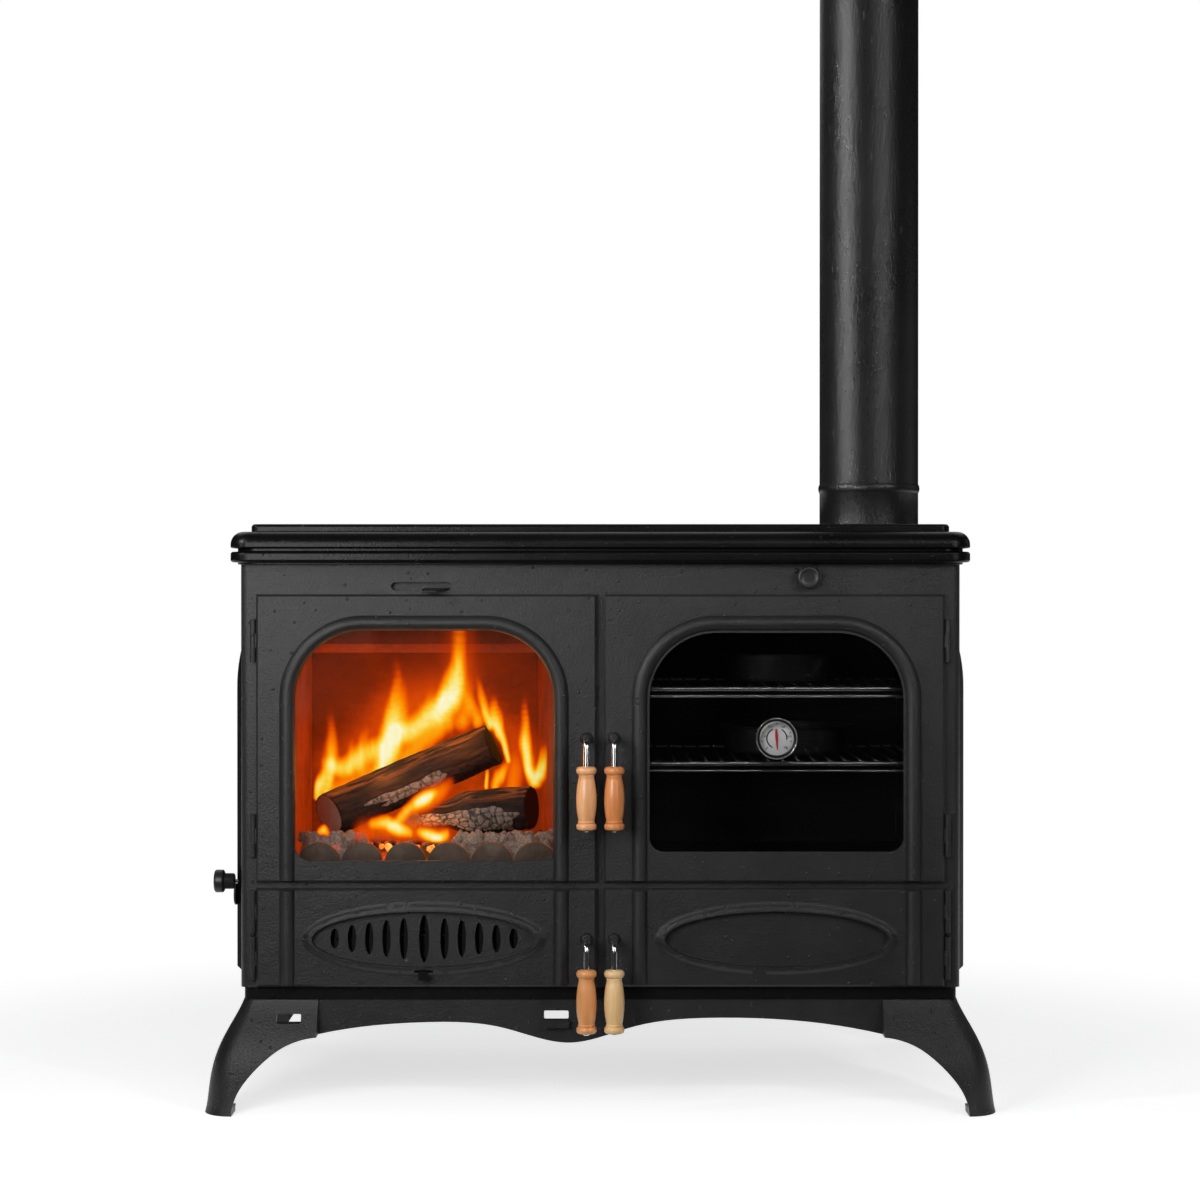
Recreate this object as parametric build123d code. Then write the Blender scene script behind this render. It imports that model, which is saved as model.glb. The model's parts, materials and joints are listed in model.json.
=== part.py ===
from build123d import *
import os

# Millimetres. +Z is up, -Y is the front, +X is the right side of someone who faces the stove.
# The origin lies on the floor, in the middle of the stove's outline.

# Clearances
running_gap = 0.08  # radial, a shaft in its bore
sliding_gap = 0.3  # faces that pass each other
bearing_gap = 0.5  # latch cam to its keeper

# Body
body_width = 1012
body_depth = 490
wall = 8
face_thickness = 11  # front casting between its flanges
flange_depth = 20  # how far the front and back castings turn the corner
corner_radius = 12
leg_height = 154
plinth_height = 18
plinth_inset = 4.4
body_height = 594  # from the plinth to the underside of the top

# Legs
leg_splay = 48  # foot beyond the body, to the side and to the front
foot_size = 42
foot_thickness = 10
leg_top_inset = 3
leg_reach = 109  # along each wall from the corner
leg_inner_height = 105  # underside of the web at its end
leg_flange = 6
leg_seam_wall = 4  # return behind the web where it meets the skirt
leg_corner_top = 18
leg_corner_foot = 42
leg_outline = ((1.0, 0.0), (0.8, 0.3), (0.55, 0.67), (0.3, 0.86), (0.0, 1.0))  # height, splay
leg_inner_curve = ((0.17, 0.02), (0.46, 0.17), (0.7, 0.38), (0.88, 0.61), (0.97, 0.83))

# Skirt between the front legs
apron_inset = 6
apron_wave = ((-0.6, 122), (-0.35, 114.5), (-0.108, 93), (0.113, 115), (0.4, 128))
slot_width = 34.5
slot_height = 12.5
slot_ledge_height = 11
slot_ledge_depth = 9
slot_cut = 30  # in front of the face and behind it
apron_slot_x = -62
apron_slot_z = 132
leg_slot_inset = 69  # from the side of the body
leg_slot_z = 129

# Doors
door_proud = 10  # outer face of a door in front of the casting
seal_gap = 2  # back of a door in front of the casting
door_bevel = 3
door_gap = 10
door_stile = 23.5  # casting beside a door, at the corner
door_sill = 2
lower_door_height = 138
door_row_gap = 8.5
frieze_height = 42
overlap_side = 16.5
overlap_mullion = 10
overlap_end = 17
overlap_lower_end = 9

# Ribs and windows
window_offset = 3.25  # window beyond the middle of its door
rib_width = 20.8
rib_height = 9
rib_margin = 46.75  # centre line of the rib to the edge of the door
rib_top_drop = 40  # centre line of the rib below the top of the door
rib_radius = 107
fire_window_margin = 0.5  # rib to the edge of the pane's opening
fire_window_sill = 30.3
oven_window_margin = 3.5
oven_window_sill = 43
window_foot_radius = 20
glass_thickness = 4
glass_overlap = 10
seal_inset = 3
seal_width = 5
seal_depth = 4.7
clip_width = 14
clip_thickness = 3
clip_grip = 8
clip_height_share = 0.3

# Ovals on the lower doors
oval_length = 349
oval_height = 110
oval_rim_length = 317
oval_rim_height = 82
oval_field_length = 313
oval_field_height = 78
oval_proud = 9
oval_recess = 2
oval_drop = 1.5  # below the middle of the door

# Air slots in the ash door, from the middle outwards
air_slot_pitch = 24.2
air_slot_first_pitch = 28.6
air_slot_width = 12
air_slot_middle_width = 14
air_slot_heights = (66, 57.4, 51.8, 44.5, 38.4, 28)
air_travel = 12
air_plate_thickness = 2.5
air_plate_margin = 9
air_tab_width = 14
air_tab_thickness = 3
air_tab_reach = 8
air_tab_drop = 9
air_tab_z = 195

# Hinges
hinge_offset = 4.7  # axis beyond the edge of the door
hinge_forward = 5  # axis in front of the casting
hinge_radius = 4
hinge_pin_radius = 2
hinge_length = 60
hinge_leaf = 2
knuckle_sides = 12
upper_hinge_inset = 65
lower_hinge_insets = (39.5, 33)  # from the bottom and from the top of the door

# Latches and grips
spindle_x = 19.3
lower_latch_drop = 2  # below the middle of the door
spindle_radius = 4.5
handle_standoff = 45
handle_bend = 12
mullion_notch = 4.5  # keeper pocket in the side of the mullion
notch_height = 30
cam_radius = 6.5
cam_lobe_radius = 4
cam_thickness = 6
boss_radius = 9
boss_height = 6
grip_radius = 14.2
grip_neck = 10.6
grip_length = 88
grip_drop = 36
grip_bead = 10.6
grip_sides = 16
shank_sides = 8
nut_radius = 5
nut_height = 3

# Thermometer
gauge_radius = 29.5
gauge_rim = 4
gauge_depth = 12
gauge_stem_radius = 6
gauge_stem_length = 22
needle_length = 15.7  # down to its point
needle_tail = 13.6  # up to its blunt end
needle_width = 3.2
needle_tail_width = 1.6
needle_widest = 2  # above the middle
needle_tip = 0.3  # half the width of its point

# Airwash slide in the frieze
airwash_x = -251.6
airwash_drop = 30.6  # below the top of the casting
airwash_length = 84.5
airwash_height = 12
airwash_travel = 38
airwash_plate_length = 190
airwash_plate_height = 26
airwash_plate_thickness = 3
airwash_tab_root = 35
airwash_tab_tip = 21
airwash_tab_reach = 30
airwash_tab_thickness = 3
rail_height = 4
rail_lip = 3

# Bypass damper
damper_x = 292
damper_drop = 18.5
damper_rod_radius = 5
damper_knob_radius = 16
damper_dish_radius = 12
damper_knob_length = 14
damper_knob_gap = 3
damper_boss_radius = 12
damper_boss_length = 14
damper_flap_height = 60
damper_flap_back = 110  # free length behind the flap
damper_flap_start = 120
damper_flap_thickness = 3
damper_sleeve = 3

# Grate shaker
shaker_y = 55  # behind the face of the casting
shaker_drop = 3  # below the deck's underside
shaker_rod_radius = 2.5
shaker_reach = 44  # end of the knob beyond the body
shaker_disc_radius = 16.2
shaker_disc_length = 13.8
shaker_disc_edge = 2.5
shaker_hub_radius = 11.2
shaker_hub_length = 14.7
shaker_plate_radius = 15.3
shaker_plate_thickness = 3.2
shaker_travel = 30
shaker_link_width = 8
shaker_link_lap = 20

# Side fields
field_proud = 12
field_inset = 45
field_bottom = 14
field_bottom_slope = 8
field_top = 99
field_top_slope = 77
field_bevel = 10

# Top
rim_overhang_side = 14
rim_overhang_front = 22
rim_corner_radius = 30
rim_cove = 3
rim_height = 15
rim_edge = 4
rim_shadow = 5
rim_shadow_inset = 9
dome_height = 23
dome_radius = 18
top_opening_inset = 34
hob_inset = 28
hob_thickness = 11
hob_edge = 3
hob_lip = 6
lid_radius = 115
lid_ledge = 10
lid_thickness = 8
lid_lifter_length = 40
lid_lifter_width = 12
lid_lifter_depth = 4

# Flue
flue_side = 96  # from the side of the body
flue_back = 180  # from the back of the body
flue_radius = 75
flue_wall = 2
flue_length = 1000
flue_flange_radius = 90
flue_flange = 6
flue_spigot_up = 40
flue_spigot_wall = 4
flue_bead_z = 55
flue_bead_radius = 7
flue_bead_proud = 2

# Firebox
deck_lift = 6  # above the top of the lower doors
deck_thickness = 12
deck_well_depth = 14
deck_ledge = 8
grate_left = 134  # from the side of the body
grate_right = 112  # from the middle
grate_front = 95
grate_back = 155  # from the back of the body
grate_thickness = 12
grate_bars = 9
grate_slot_width = 12
grate_border = 20
liner_thickness = 18
liner_drop = 126  # below the top of the casting
firebox_side = 56  # from the side of the body
firebox_right_front = -60
firebox_right_back = -98
firebox_gap = 90  # from the back of the body
firebox_front = 30
baffle_thickness = 12
baffle_start = 90
fence_y = 42
fence_thickness = 12
fence_disc_radius = 29
fence_gap_left = 18.8  # to the left liner
fence_gap_right = 2.8  # to the front edge of the right liner
fence_count = 6
fence_centre_height = 12
fence_bar = 14

# Ash pan, oven and storage box
sheet = 3
runner_height = 12
runner_width = 14
pan_margin = 12
pan_gap = 110  # depth of the body that the pan leaves free
pan_height = 96
pan_pull_width = 90
pan_pull_reach = 10
oven_margin = 2
oven_gap = 60
oven_ledge = 9
rack_drops = (242, 136)  # below the top of the upper doors
rack_rod = 3.5
rack_wire = 2
rack_wires = 9
rack_corner = 14
rack_front_drop = 8.5
rack_gap = 1.5
storage_gap = 100

# Places that follow from the sizes
half_width = body_width / 2
handle_reach = door_proud + handle_standoff + grip_radius
front = (handle_reach - leg_splay - body_depth) / 2
back = front + body_depth
middle_y = (front + back) / 2
inner_x = half_width - wall
panel_bottom = leg_height + plinth_height
panel_top = panel_bottom + body_height
door_face = front - door_proud
door_back = front - seal_gap
door_inner = door_gap / 2
door_outer = half_width - door_stile
lower_z = (panel_bottom + door_sill, panel_bottom + door_sill + lower_door_height)
upper_z = (lower_z[1] + door_row_gap, panel_top - frieze_height)
opening_x = (door_inner + overlap_mullion, door_outer - overlap_side)
upper_opening = (upper_z[0] + overlap_end, upper_z[1] - overlap_end)
lower_opening = (lower_z[0] + overlap_lower_end, lower_z[1] - overlap_lower_end)
rib_top = upper_z[1] - rib_top_drop
window_x = (door_inner + door_outer) / 2 + window_offset
rib_half_span = (door_outer - door_inner) / 2 - rib_margin
oval_z = sum(lower_z) / 2 - oval_drop
lower_latch_z = sum(lower_z) / 2 - lower_latch_drop
upper_latch_z = sum(upper_z) / 2
gauge_z = upper_latch_z
upper_hinge_z = (upper_z[0] + upper_hinge_inset, upper_z[1] - upper_hinge_inset)
lower_hinge_z = (lower_z[0] + lower_hinge_insets[0], lower_z[1] - lower_hinge_insets[1])
hinge_x = door_outer + hinge_offset
hinge_y = front - hinge_forward
rim_half = half_width + rim_overhang_side
rim_front = front - rim_overhang_front
rim_back = back + rim_overhang_front
rim_z = panel_top + rim_cove
shadow_z = rim_z + rim_height
dome_z = shadow_z + rim_shadow
hob_z = dome_z + dome_height
hob_top = hob_z + hob_thickness
lid_x = -half_width / 2
flue_x = half_width - flue_side
flue_centre_y = back - flue_back
leg_slot_x = half_width - leg_slot_inset
airwash_z = panel_top - airwash_drop
damper_z = panel_top - damper_drop
damper_flap_length = body_depth - damper_flap_start - damper_flap_back
deck_z = lower_z[1] + deck_lift
deck_top = deck_z + deck_thickness
shaker_z = deck_z - shaker_drop
liner_top = panel_top - liner_drop
grate_x = (grate_left - half_width, -grate_right)
grate_y = (grate_front, body_depth - grate_back)
firebox_left = firebox_side - half_width
firebox_back = body_depth - firebox_gap
rack_heights = [upper_z[1] - drop for drop in rack_drops]
pan_depth = body_depth - pan_gap
oven_depth = body_depth - oven_gap
storage_depth = body_depth - storage_gap
frame_back = front + face_thickness
body_front = front + flange_depth


def span(low_high, inset=0):
    """Middle and length of a stretch."""
    low, high = low_high
    return (low + high) / 2, high - low - 2 * inset


def block(x, y, z):
    """Box between three pairs of limits."""
    (cx, lx), (cy, ly), (cz, lz) = span(x), span(y), span(z)
    return Pos(cx, cy, cz) * Box(lx, ly, lz)


def slab(x, z, y, radius):
    """Upright plate with round corners: x and z are its limits, y its front and back."""
    (cx, lx), (cz, lz) = span(x), span(z)
    return from_front(Pos(cx, cz) * RectangleRounded(lx, lz, radius), y)


def from_front(sketch, y):
    """Solid of a front-view sketch between the two y values."""
    plane = Plane(origin=(0, y[1], 0), x_dir=(1, 0, 0), z_dir=(0, -1, 0))
    return extrude(plane * sketch, amount=y[1] - y[0])


def from_side(sketch, x):
    """Solid of a side-view sketch, drawn with y to the right, between the two x values."""
    plane = Plane(origin=(x[0], 0, 0), x_dir=(0, 1, 0), z_dir=(1, 0, 0))
    return extrude(plane * sketch, amount=x[1] - x[0])


def from_top(sketch, z):
    """Solid of a plan-view sketch between the two z values."""
    return extrude(Pos(0, 0, z[0]) * sketch, amount=z[1] - z[0])


def bar_x(radius, x, y, z):
    """Round bar along X."""
    return from_side(Pos(y, z) * Circle(radius), x)


def bar_y(radius, x, y, z):
    """Round bar along Y."""
    return from_front(Pos(x, z) * Circle(radius), y)


def bar_z(radius, x, y, z):
    """Round bar along Z."""
    return from_top(Pos(x, y) * Circle(radius), z)


def polygon(points):
    """Sketch of straight sides."""
    return make_face(Polyline(*points, close=True))


def turned_y(profile, x, z):
    """Solid of a closed profile of radius and y, turned about a line along Y."""
    return revolve(Pos(x, 0, z) * profile, Axis((x, 0, z), (0, 1, 0)))


def turned_z(profile, x, y):
    """Solid of a closed profile of radius and z, turned about a line along Z."""
    plane = Plane(origin=(x, y, 0), x_dir=(1, 0, 0), z_dir=(0, -1, 0))
    return revolve(plane * profile, Axis((x, y, 0), (0, 0, 1)))


def to_left(shape):
    """The same piece on the other side of the mullion."""
    return mirror(shape, about=Plane.YZ)


def to_back(shape):
    """The same piece on the other end of the body, front to back."""
    return mirror(shape, about=Plane.XZ.offset(-middle_y))


def ring_plan(half, y, radius, opening, opening_radius):
    """Plan of a frame round the top of the body."""
    cy, ly = span(y)
    outer = Pos(0, cy) * RectangleRounded(2 * half, ly, radius)
    inner = Pos(0, cy) * RectangleRounded(2 * (half - opening), ly - 2 * opening, opening_radius)
    return outer - inner


# Body castings


def hollow_panel(y, pocket_y):
    """Front or back casting: a plate with flanges turned round its edges."""
    panel = block((-half_width, half_width), y, (panel_bottom, panel_top))
    outer_edges = panel.edges().filter_by(Axis.Z)
    outer_y = y[0] if pocket_y[0] > y[0] else y[1]
    panel = fillet([e for e in outer_edges if abs(e.center().Y - outer_y) < 1], corner_radius)
    pocket = block((-inner_x, inner_x), pocket_y, (panel_bottom + wall, panel_top - wall))
    return panel - pocket


def frame_openings():
    """The four door openings, with the keeper pockets beside the latches."""
    cut_y = (front - 1, body_front + 1)
    cuts = []
    for opening_z in (upper_opening, lower_opening):
        cuts.append(block(opening_x, cut_y, opening_z))
    for latch_z in (upper_latch_z, lower_latch_z):
        pocket_x = (opening_x[0] - mullion_notch, opening_x[0] + 1)
        pocket_z = (latch_z - notch_height / 2, latch_z + notch_height / 2)
        cuts.append(block(pocket_x, cut_y, pocket_z))
    return cuts + [to_left(cut) for cut in cuts]


def airwash_rails():
    """Lipped rails that carry the airwash slide behind the casting."""
    half = airwash_plate_height / 2 + sliding_gap
    lip_y = frame_back + airwash_plate_thickness + 2 * sliding_gap
    (cx, lx) = airwash_x, airwash_length + 2 * airwash_travel
    rails = []
    for sign in (-1, 1):
        web_z = sorted((airwash_z + sign * half, airwash_z + sign * (half + rail_height)))
        lip_z = sorted((airwash_z + sign * (half - rail_lip), airwash_z + sign * (half + rail_height)))
        rail_x = (cx - lx / 2, cx + lx / 2)
        rails.append(block(rail_x, (frame_back - 1, lip_y + rail_lip), web_z))
        rails.append(block(rail_x, (lip_y, lip_y + rail_lip), lip_z))
    return rails


def make_front_frame():
    frame = hollow_panel((front, body_front), (frame_back, body_front + 1))
    for cut in frame_openings():
        frame -= cut
    slot = Pos(airwash_x, airwash_z) * SlotOverall(airwash_length, airwash_height)
    frame -= from_front(slot, (front - 1, frame_back + 1))
    frame -= bar_y(damper_rod_radius + running_gap, damper_x, (front - 1, frame_back + 1), damper_z)
    for rail in airwash_rails():
        frame += rail
    return frame


def make_back_panel():
    panel = hollow_panel((back - flange_depth, back), (back - flange_depth - 1, back - wall))
    boss_y = (back - wall - damper_boss_length, back - wall + 1)
    panel += bar_y(damper_boss_radius, damper_x, boss_y, damper_z)
    bore_y = (boss_y[0] - 1, back - wall - sheet)
    return panel - bar_y(damper_rod_radius + running_gap, damper_x, bore_y, damper_z)


def side_field():
    """Raised field of a side casting, with a swelling top edge."""
    low, high = panel_bottom + field_bottom, panel_top - field_top
    outer = half_width + field_proud
    rise = ThreePointArc(
        (outer, high - field_top_slope),
        (outer - field_proud * 0.3, high - field_top_slope * 0.43),
        (half_width, high),
    )
    rest = Polyline(
        (half_width, high),
        (half_width - 1, high),
        (half_width - 1, low),
        (half_width, low),
        (outer, low + field_bottom_slope),
        (outer, high - field_top_slope),
    )
    field_y = (front + field_inset, back - field_inset)
    field = from_front(make_face([rise, *rest.edges()]), field_y)
    ends = [f for y in field_y for f in field.faces() if abs(f.center().Y - y) < 0.01]
    flat_edges = [e for f in ends for e in f.edges() if abs(e.center().X - outer) < 0.01]
    return chamfer(flat_edges, field_bevel)


def make_right_side():
    side_y = (body_front, back - flange_depth)
    panel = block((inner_x, half_width), side_y, (panel_bottom, panel_top))
    return panel + side_field()


def make_left_side():
    rod = bar_x(
        shaker_rod_radius + running_gap,
        (-half_width - field_proud - 1, -inner_x + 1),
        front + shaker_y,
        shaker_z,
    )
    return to_left(make_right_side()) - rod


def make_base_plate():
    base_y = (front + plinth_inset, back - plinth_inset)
    half = half_width - plinth_inset
    cy, ly = span(base_y)
    base = from_top(
        Pos(0, cy) * RectangleRounded(2 * half, ly, corner_radius), (leg_height, panel_bottom)
    )
    hollow = block(
        (-half + wall, half - wall),
        (base_y[0] + wall, base_y[1] - wall),
        (leg_height - 1, panel_bottom - wall),
    )
    base -= hollow
    for x in ash_runner_x():
        base += block(x, (body_front, back - wall - runner_width), (panel_bottom - 1, runner_top()))
    return base


def runner_top():
    return panel_bottom + runner_height


def ash_runner_x():
    """The two runners that the ash pan slides on."""
    left, right = -opening_x[1] + pan_margin, -opening_x[0] - pan_margin
    return [(left, left + runner_width), (right - runner_width, right)]


# Legs and skirt


def leg_section(height_share, splay_share):
    """Plan of the front right leg's outer face at one height, rounded at its corner."""
    outward = splay_share * (leg_splay + leg_top_inset) - leg_top_inset
    radius = leg_corner_foot + (leg_corner_top - leg_corner_foot) * height_share
    corner_x, corner_y = half_width + outward, front - outward
    inner_corner_x, inner_corner_y = half_width - leg_reach, front + leg_reach
    arc_middle = radius * (1 - 0.5**0.5)
    sides = Polyline(
        (corner_x, corner_y + radius),
        (corner_x, inner_corner_y),
        (inner_corner_x, inner_corner_y),
        (inner_corner_x, corner_y),
        (corner_x - radius, corner_y),
    )
    arc = ThreePointArc(
        (corner_x - radius, corner_y),
        (corner_x - arc_middle, corner_y + arc_middle),
        (corner_x, corner_y + radius),
    )
    return Pos(0, 0, height_share * leg_height) * make_face([*sides.edges(), arc])


def leg_void():
    """Space under the leg's web, as distance in from the foot's outer edge and height."""
    reach = leg_reach + leg_splay
    inner = [
        (foot_size + share_x * (reach - foot_size), share_z * leg_inner_height)
        for share_z, share_x in leg_inner_curve
    ]
    curve = Spline((foot_size, 0), *inner, (reach, leg_inner_height))
    beyond = reach + leg_reach
    rest = Polyline(
        (reach, leg_inner_height), (beyond, leg_inner_height), (beyond, -1), (foot_size, -1), (foot_size, 0)
    )
    return make_face([curve, *rest.edges()])


def make_leg():
    """The front right leg: an open angle casting that spreads to a closed foot."""
    outside = loft([leg_section(*station) for station in leg_outline])
    beyond = (half_width - 2 * leg_reach, half_width + 2 * leg_splay)
    hollow_y = (front - 2 * leg_splay, front + 2 * leg_reach)
    cavity = block(beyond, hollow_y, (foot_thickness, leg_height - leg_flange))
    seam_x = half_width - leg_reach
    cavity -= block(
        (seam_x, seam_x + leg_seam_wall), (hollow_y[0], front + apron_inset + wall), (0, leg_height)
    )
    leg = outside - ((Pos(-wall, wall) * outside) & cavity)
    edge = half_width + leg_splay
    front_void = Pos(edge, 0) * mirror(leg_void(), about=Plane.YZ)
    leg -= from_front(front_void, (front - 2 * leg_splay, front + 2 * leg_reach))
    side_void = Pos(front - leg_splay, 0) * leg_void()
    leg -= from_side(side_void, (half_width - 2 * leg_reach, half_width + 2 * leg_splay))
    inner = (half_width - leg_reach - 1, front + leg_reach + 1)
    trim = polygon([inner, (half_width - wall * 2, inner[1]), (inner[0], front + wall * 2)])
    return leg - from_top(trim, (leg_height - leg_flange - 1, leg_height + 1))


def slot_with_ledge(x, z, face_y):
    """A slot through a front web and the ledge that stands out under it."""
    half = slot_width / 2
    ledge_top = z - slot_height / 2
    cut = slab((x - half, x + half), (ledge_top, ledge_top + slot_height), (face_y - slot_cut, face_y + slot_cut), 2)
    ledge = slab(
        (x - half - 1, x + half + 1),
        (ledge_top - slot_ledge_height, ledge_top),
        (face_y - slot_ledge_depth, face_y + wall - 2),
        2.5,
    )
    return cut, ledge


def make_slotted_leg():
    cut, ledge = slot_with_ledge(-leg_slot_x, leg_slot_z, front)
    return to_left(make_leg()) - cut + ledge


def make_front_apron():
    half = half_width - leg_reach
    wave = Spline(
        (-half, leg_inner_height), *((x * half, z) for x, z in apron_wave), (half, leg_inner_height)
    )
    top_corners = (half, leg_height), (-half, leg_height)
    rest = Polyline((half, leg_inner_height), *top_corners, (-half, leg_inner_height))
    face_y = front + apron_inset
    apron = from_front(make_face([wave, *rest.edges()]), (face_y, face_y + wall))
    cut, ledge = slot_with_ledge(apron_slot_x, apron_slot_z, face_y)
    return apron - cut + ledge


# Top


def make_top_frame():
    """Lower rim: a ring on the walls, with a recessed step that leaves a dark line."""
    opening = top_opening_inset
    outer_y = (rim_front, rim_back)
    rim = from_top(
        ring_plan(rim_half, outer_y, rim_corner_radius, opening, corner_radius), (rim_z, shadow_z)
    )
    outside = [e for e in rim.edges() if max_reach(e) > rim_half - opening / 2]
    rim = fillet(outside, rim_edge)
    inset = rim_shadow_inset
    inner_y = (rim_front + inset, rim_back - inset)
    step = ring_plan(rim_half - inset, inner_y, rim_corner_radius, opening - inset, corner_radius)
    return rim + from_top(step, (panel_top, dome_z))


def max_reach(edge):
    """How far an edge lies from the middle of the top, against the rim's own shape."""
    centre = edge.center()
    across = abs(centre.X)
    along = abs(centre.Y - middle_y) + rim_half - (rim_back - rim_front) / 2
    return max(across, along)


def make_cooktop_frame():
    """Domed rim round the hob."""
    rim = from_top(
        ring_plan(rim_half, (rim_front, rim_back), rim_corner_radius, top_opening_inset, corner_radius),
        (dome_z, hob_z),
    )
    outside = [e for e in rim.edges() if max_reach(e) > rim_half - top_opening_inset / 2]
    upper = [e for e in outside if abs(e.center().Z - hob_z) < 0.01]
    rim = fillet(upper, dome_radius)
    lower = [e for e in rim.edges() if abs(e.center().Z - dome_z) < 0.01]
    return fillet([e for e in lower if max_reach(e) > rim_half - top_opening_inset / 2], 2)


def make_hob_plate():
    plate_y = (rim_front + hob_inset, rim_back - hob_inset)
    cy, ly = span(plate_y)
    half = rim_half - hob_inset
    plate = from_top(Pos(0, cy) * RectangleRounded(2 * half, ly, corner_radius), (hob_z, hob_top))
    plate = chamfer(plate.faces().sort_by(Axis.Z)[-1].edges(), hob_edge)
    lip_inset = top_opening_inset - hob_inset + 1
    lip = Pos(0, cy) * RectangleRounded(2 * (half - lip_inset), ly - 2 * lip_inset, corner_radius)
    lip -= Pos(0, cy) * RectangleRounded(
        2 * (half - lip_inset - wall), ly - 2 * (lip_inset + wall), corner_radius
    )
    lip_z = (hob_z - hob_lip, hob_z + 1)
    plate += from_top(lip, lip_z)
    lid_floor = hob_top - lid_thickness
    plate -= bar_z(lid_radius, lid_x, middle_y, (lid_floor, hob_top + 1))
    plate -= bar_z(lid_radius - lid_ledge, lid_x, middle_y, (hob_z - 1, hob_top + 1))
    return plate - bar_z(flue_spigot_radius(), flue_x, flue_centre_y, (hob_z - hob_lip - 1, hob_top + 1))


def make_hob_lid():
    lid_z = (hob_top - lid_thickness, hob_top)
    lid = bar_z(lid_radius - sliding_gap, lid_x, middle_y, lid_z)
    lid = chamfer(lid.edges().filter_by(GeomType.CIRCLE).sort_by(Axis.Z)[-1], 1)
    lifter = Pos(lid_x, middle_y - lid_radius / 2) * SlotOverall(lid_lifter_length, lid_lifter_width)
    return lid - from_top(lifter, (hob_top - lid_lifter_depth, hob_top + 1))


# Flue


def flue_spigot_radius():
    return flue_radius - flue_wall


def make_flue_collar():
    radius = flue_spigot_radius()
    low = hob_z - hob_lip
    collar = bar_z(radius, flue_x, flue_centre_y, (low, hob_top + flue_spigot_up))
    collar += bar_z(flue_flange_radius, flue_x, flue_centre_y, (hob_top, hob_top + flue_flange))
    high = hob_top + flue_spigot_up + 1
    return collar - bar_z(radius - flue_spigot_wall, flue_x, flue_centre_y, (low - 1, high))


def make_flue_pipe():
    """One length of pipe with a rolled bead above its foot."""
    low = hob_top + flue_flange
    high = low + flue_length
    bead_z = low + flue_bead_z
    inner, outer = flue_radius - flue_wall, flue_radius
    bead = ThreePointArc(
        (outer, bead_z - flue_bead_radius),
        (outer + flue_bead_proud, bead_z),
        (outer, bead_z + flue_bead_radius),
    )
    rest = Polyline(
        (outer, bead_z + flue_bead_radius),
        (outer, high),
        (inner, high),
        (inner, low),
        (outer, low),
        (outer, bead_z - flue_bead_radius),
    )
    return turned_z(make_face([bead, *rest.edges()]), flue_x, flue_centre_y)


# Doors, all made for the right side of the mullion


def door_plate(z):
    plate = block((door_inner, door_outer), (door_face, door_back), z)
    return chamfer(plate.faces().sort_by(Axis.Y)[0].edges(), door_bevel)


def seal_ring(z, y):
    (cx, lx), (cz, lz) = span((door_inner, door_outer), seal_inset), span(z, seal_inset)
    ring = Pos(cx, cz) * RectangleRounded(lx, lz, seal_width * 2)
    ring -= Pos(cx, cz) * RectangleRounded(lx - 2 * seal_width, lz - 2 * seal_width, seal_width)
    return from_front(ring, y)


def make_seal(z):
    return seal_ring(z, (front - sliding_gap - seal_depth, front - sliding_gap))


def with_seal_groove(door, z):
    return door - seal_ring(z, (front - sliding_gap - seal_depth, door_back + 1))


def rib_section():
    """Half round section of a rib, standing on a door's face at the origin."""
    half = rib_width / 2
    arc = ThreePointArc((-half, 0), (0, -rib_height), (half, 0))
    foot = Polyline((half, 0), (half, 1), (-half, 1), (-half, 0))
    return make_face([arc, *foot.edges()])


def arch_rib(z):
    """Rib that rises as two columns and joins over the window."""
    left, right = window_x - rib_half_span, window_x + rib_half_span
    path = FilletPolyline(
        (left, door_face, z[0] + door_bevel),
        (left, door_face, rib_top),
        (right, door_face, rib_top),
        (right, door_face, z[0] + door_bevel),
        radius=rib_radius,
    )
    section = Pos(left, door_face, z[0] + door_bevel) * rib_section()
    return sweep(section, path=path)


def column_ribs(z):
    """The two columns where they run down a lower door."""
    columns = []
    for x in (window_x - rib_half_span, window_x + rib_half_span):
        columns.append(from_top(Pos(x, door_face) * rib_section(), (z[0] + door_bevel, z[1] - door_bevel)))
    return columns


def window_sketch(z, margin, sill):
    """Arched opening of a window inside its rib."""
    half = rib_half_span - rib_width / 2 - margin
    top = rib_top - rib_width / 2 - margin
    low = z[0] + sill
    head = rib_radius - rib_width / 2 - margin
    foot = window_foot_radius
    points = [
        (window_x - half, low),
        (window_x + half, low),
        (window_x + half, top),
        (window_x - half, top),
    ]
    return make_face(FilletPolyline(*points, radius=[foot, foot, head, head], close=True))


def glass_limits(z, margin, sill):
    half = rib_half_span - rib_width / 2 - margin + glass_overlap
    low = z[0] + sill - glass_overlap
    high = rib_top - rib_width / 2 - margin + glass_overlap
    return (window_x - half, window_x + half), (low, high)


def make_glass(z, margin, sill):
    glass_x, glass_z = glass_limits(z, margin, sill)
    return slab(glass_x, glass_z, (door_back, door_back + glass_thickness), glass_overlap)


def make_clips(z, margin, sill):
    """Four clips that hold the pane against the back of its door."""
    glass_x, glass_z = glass_limits(z, margin, sill)
    height = glass_z[1] - glass_z[0]
    pane_back = door_back + glass_thickness
    clips = []
    for clip_z in (glass_z[0] + clip_height_share * height, glass_z[1] - clip_height_share * height):
        rows = (clip_z - clip_width / 2, clip_z + clip_width / 2)
        for edge, out in ((glass_x[0], -1), (glass_x[1], 1)):
            foot_x = sorted((edge, edge + out * clip_grip))
            arm_x = sorted((edge - out * clip_grip, edge + out * clip_grip))
            foot = block(foot_x, (door_back, pane_back + clip_thickness), rows)
            clips.append(foot + block(arm_x, (pane_back, pane_back + clip_thickness), rows))
    return clips


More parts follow.
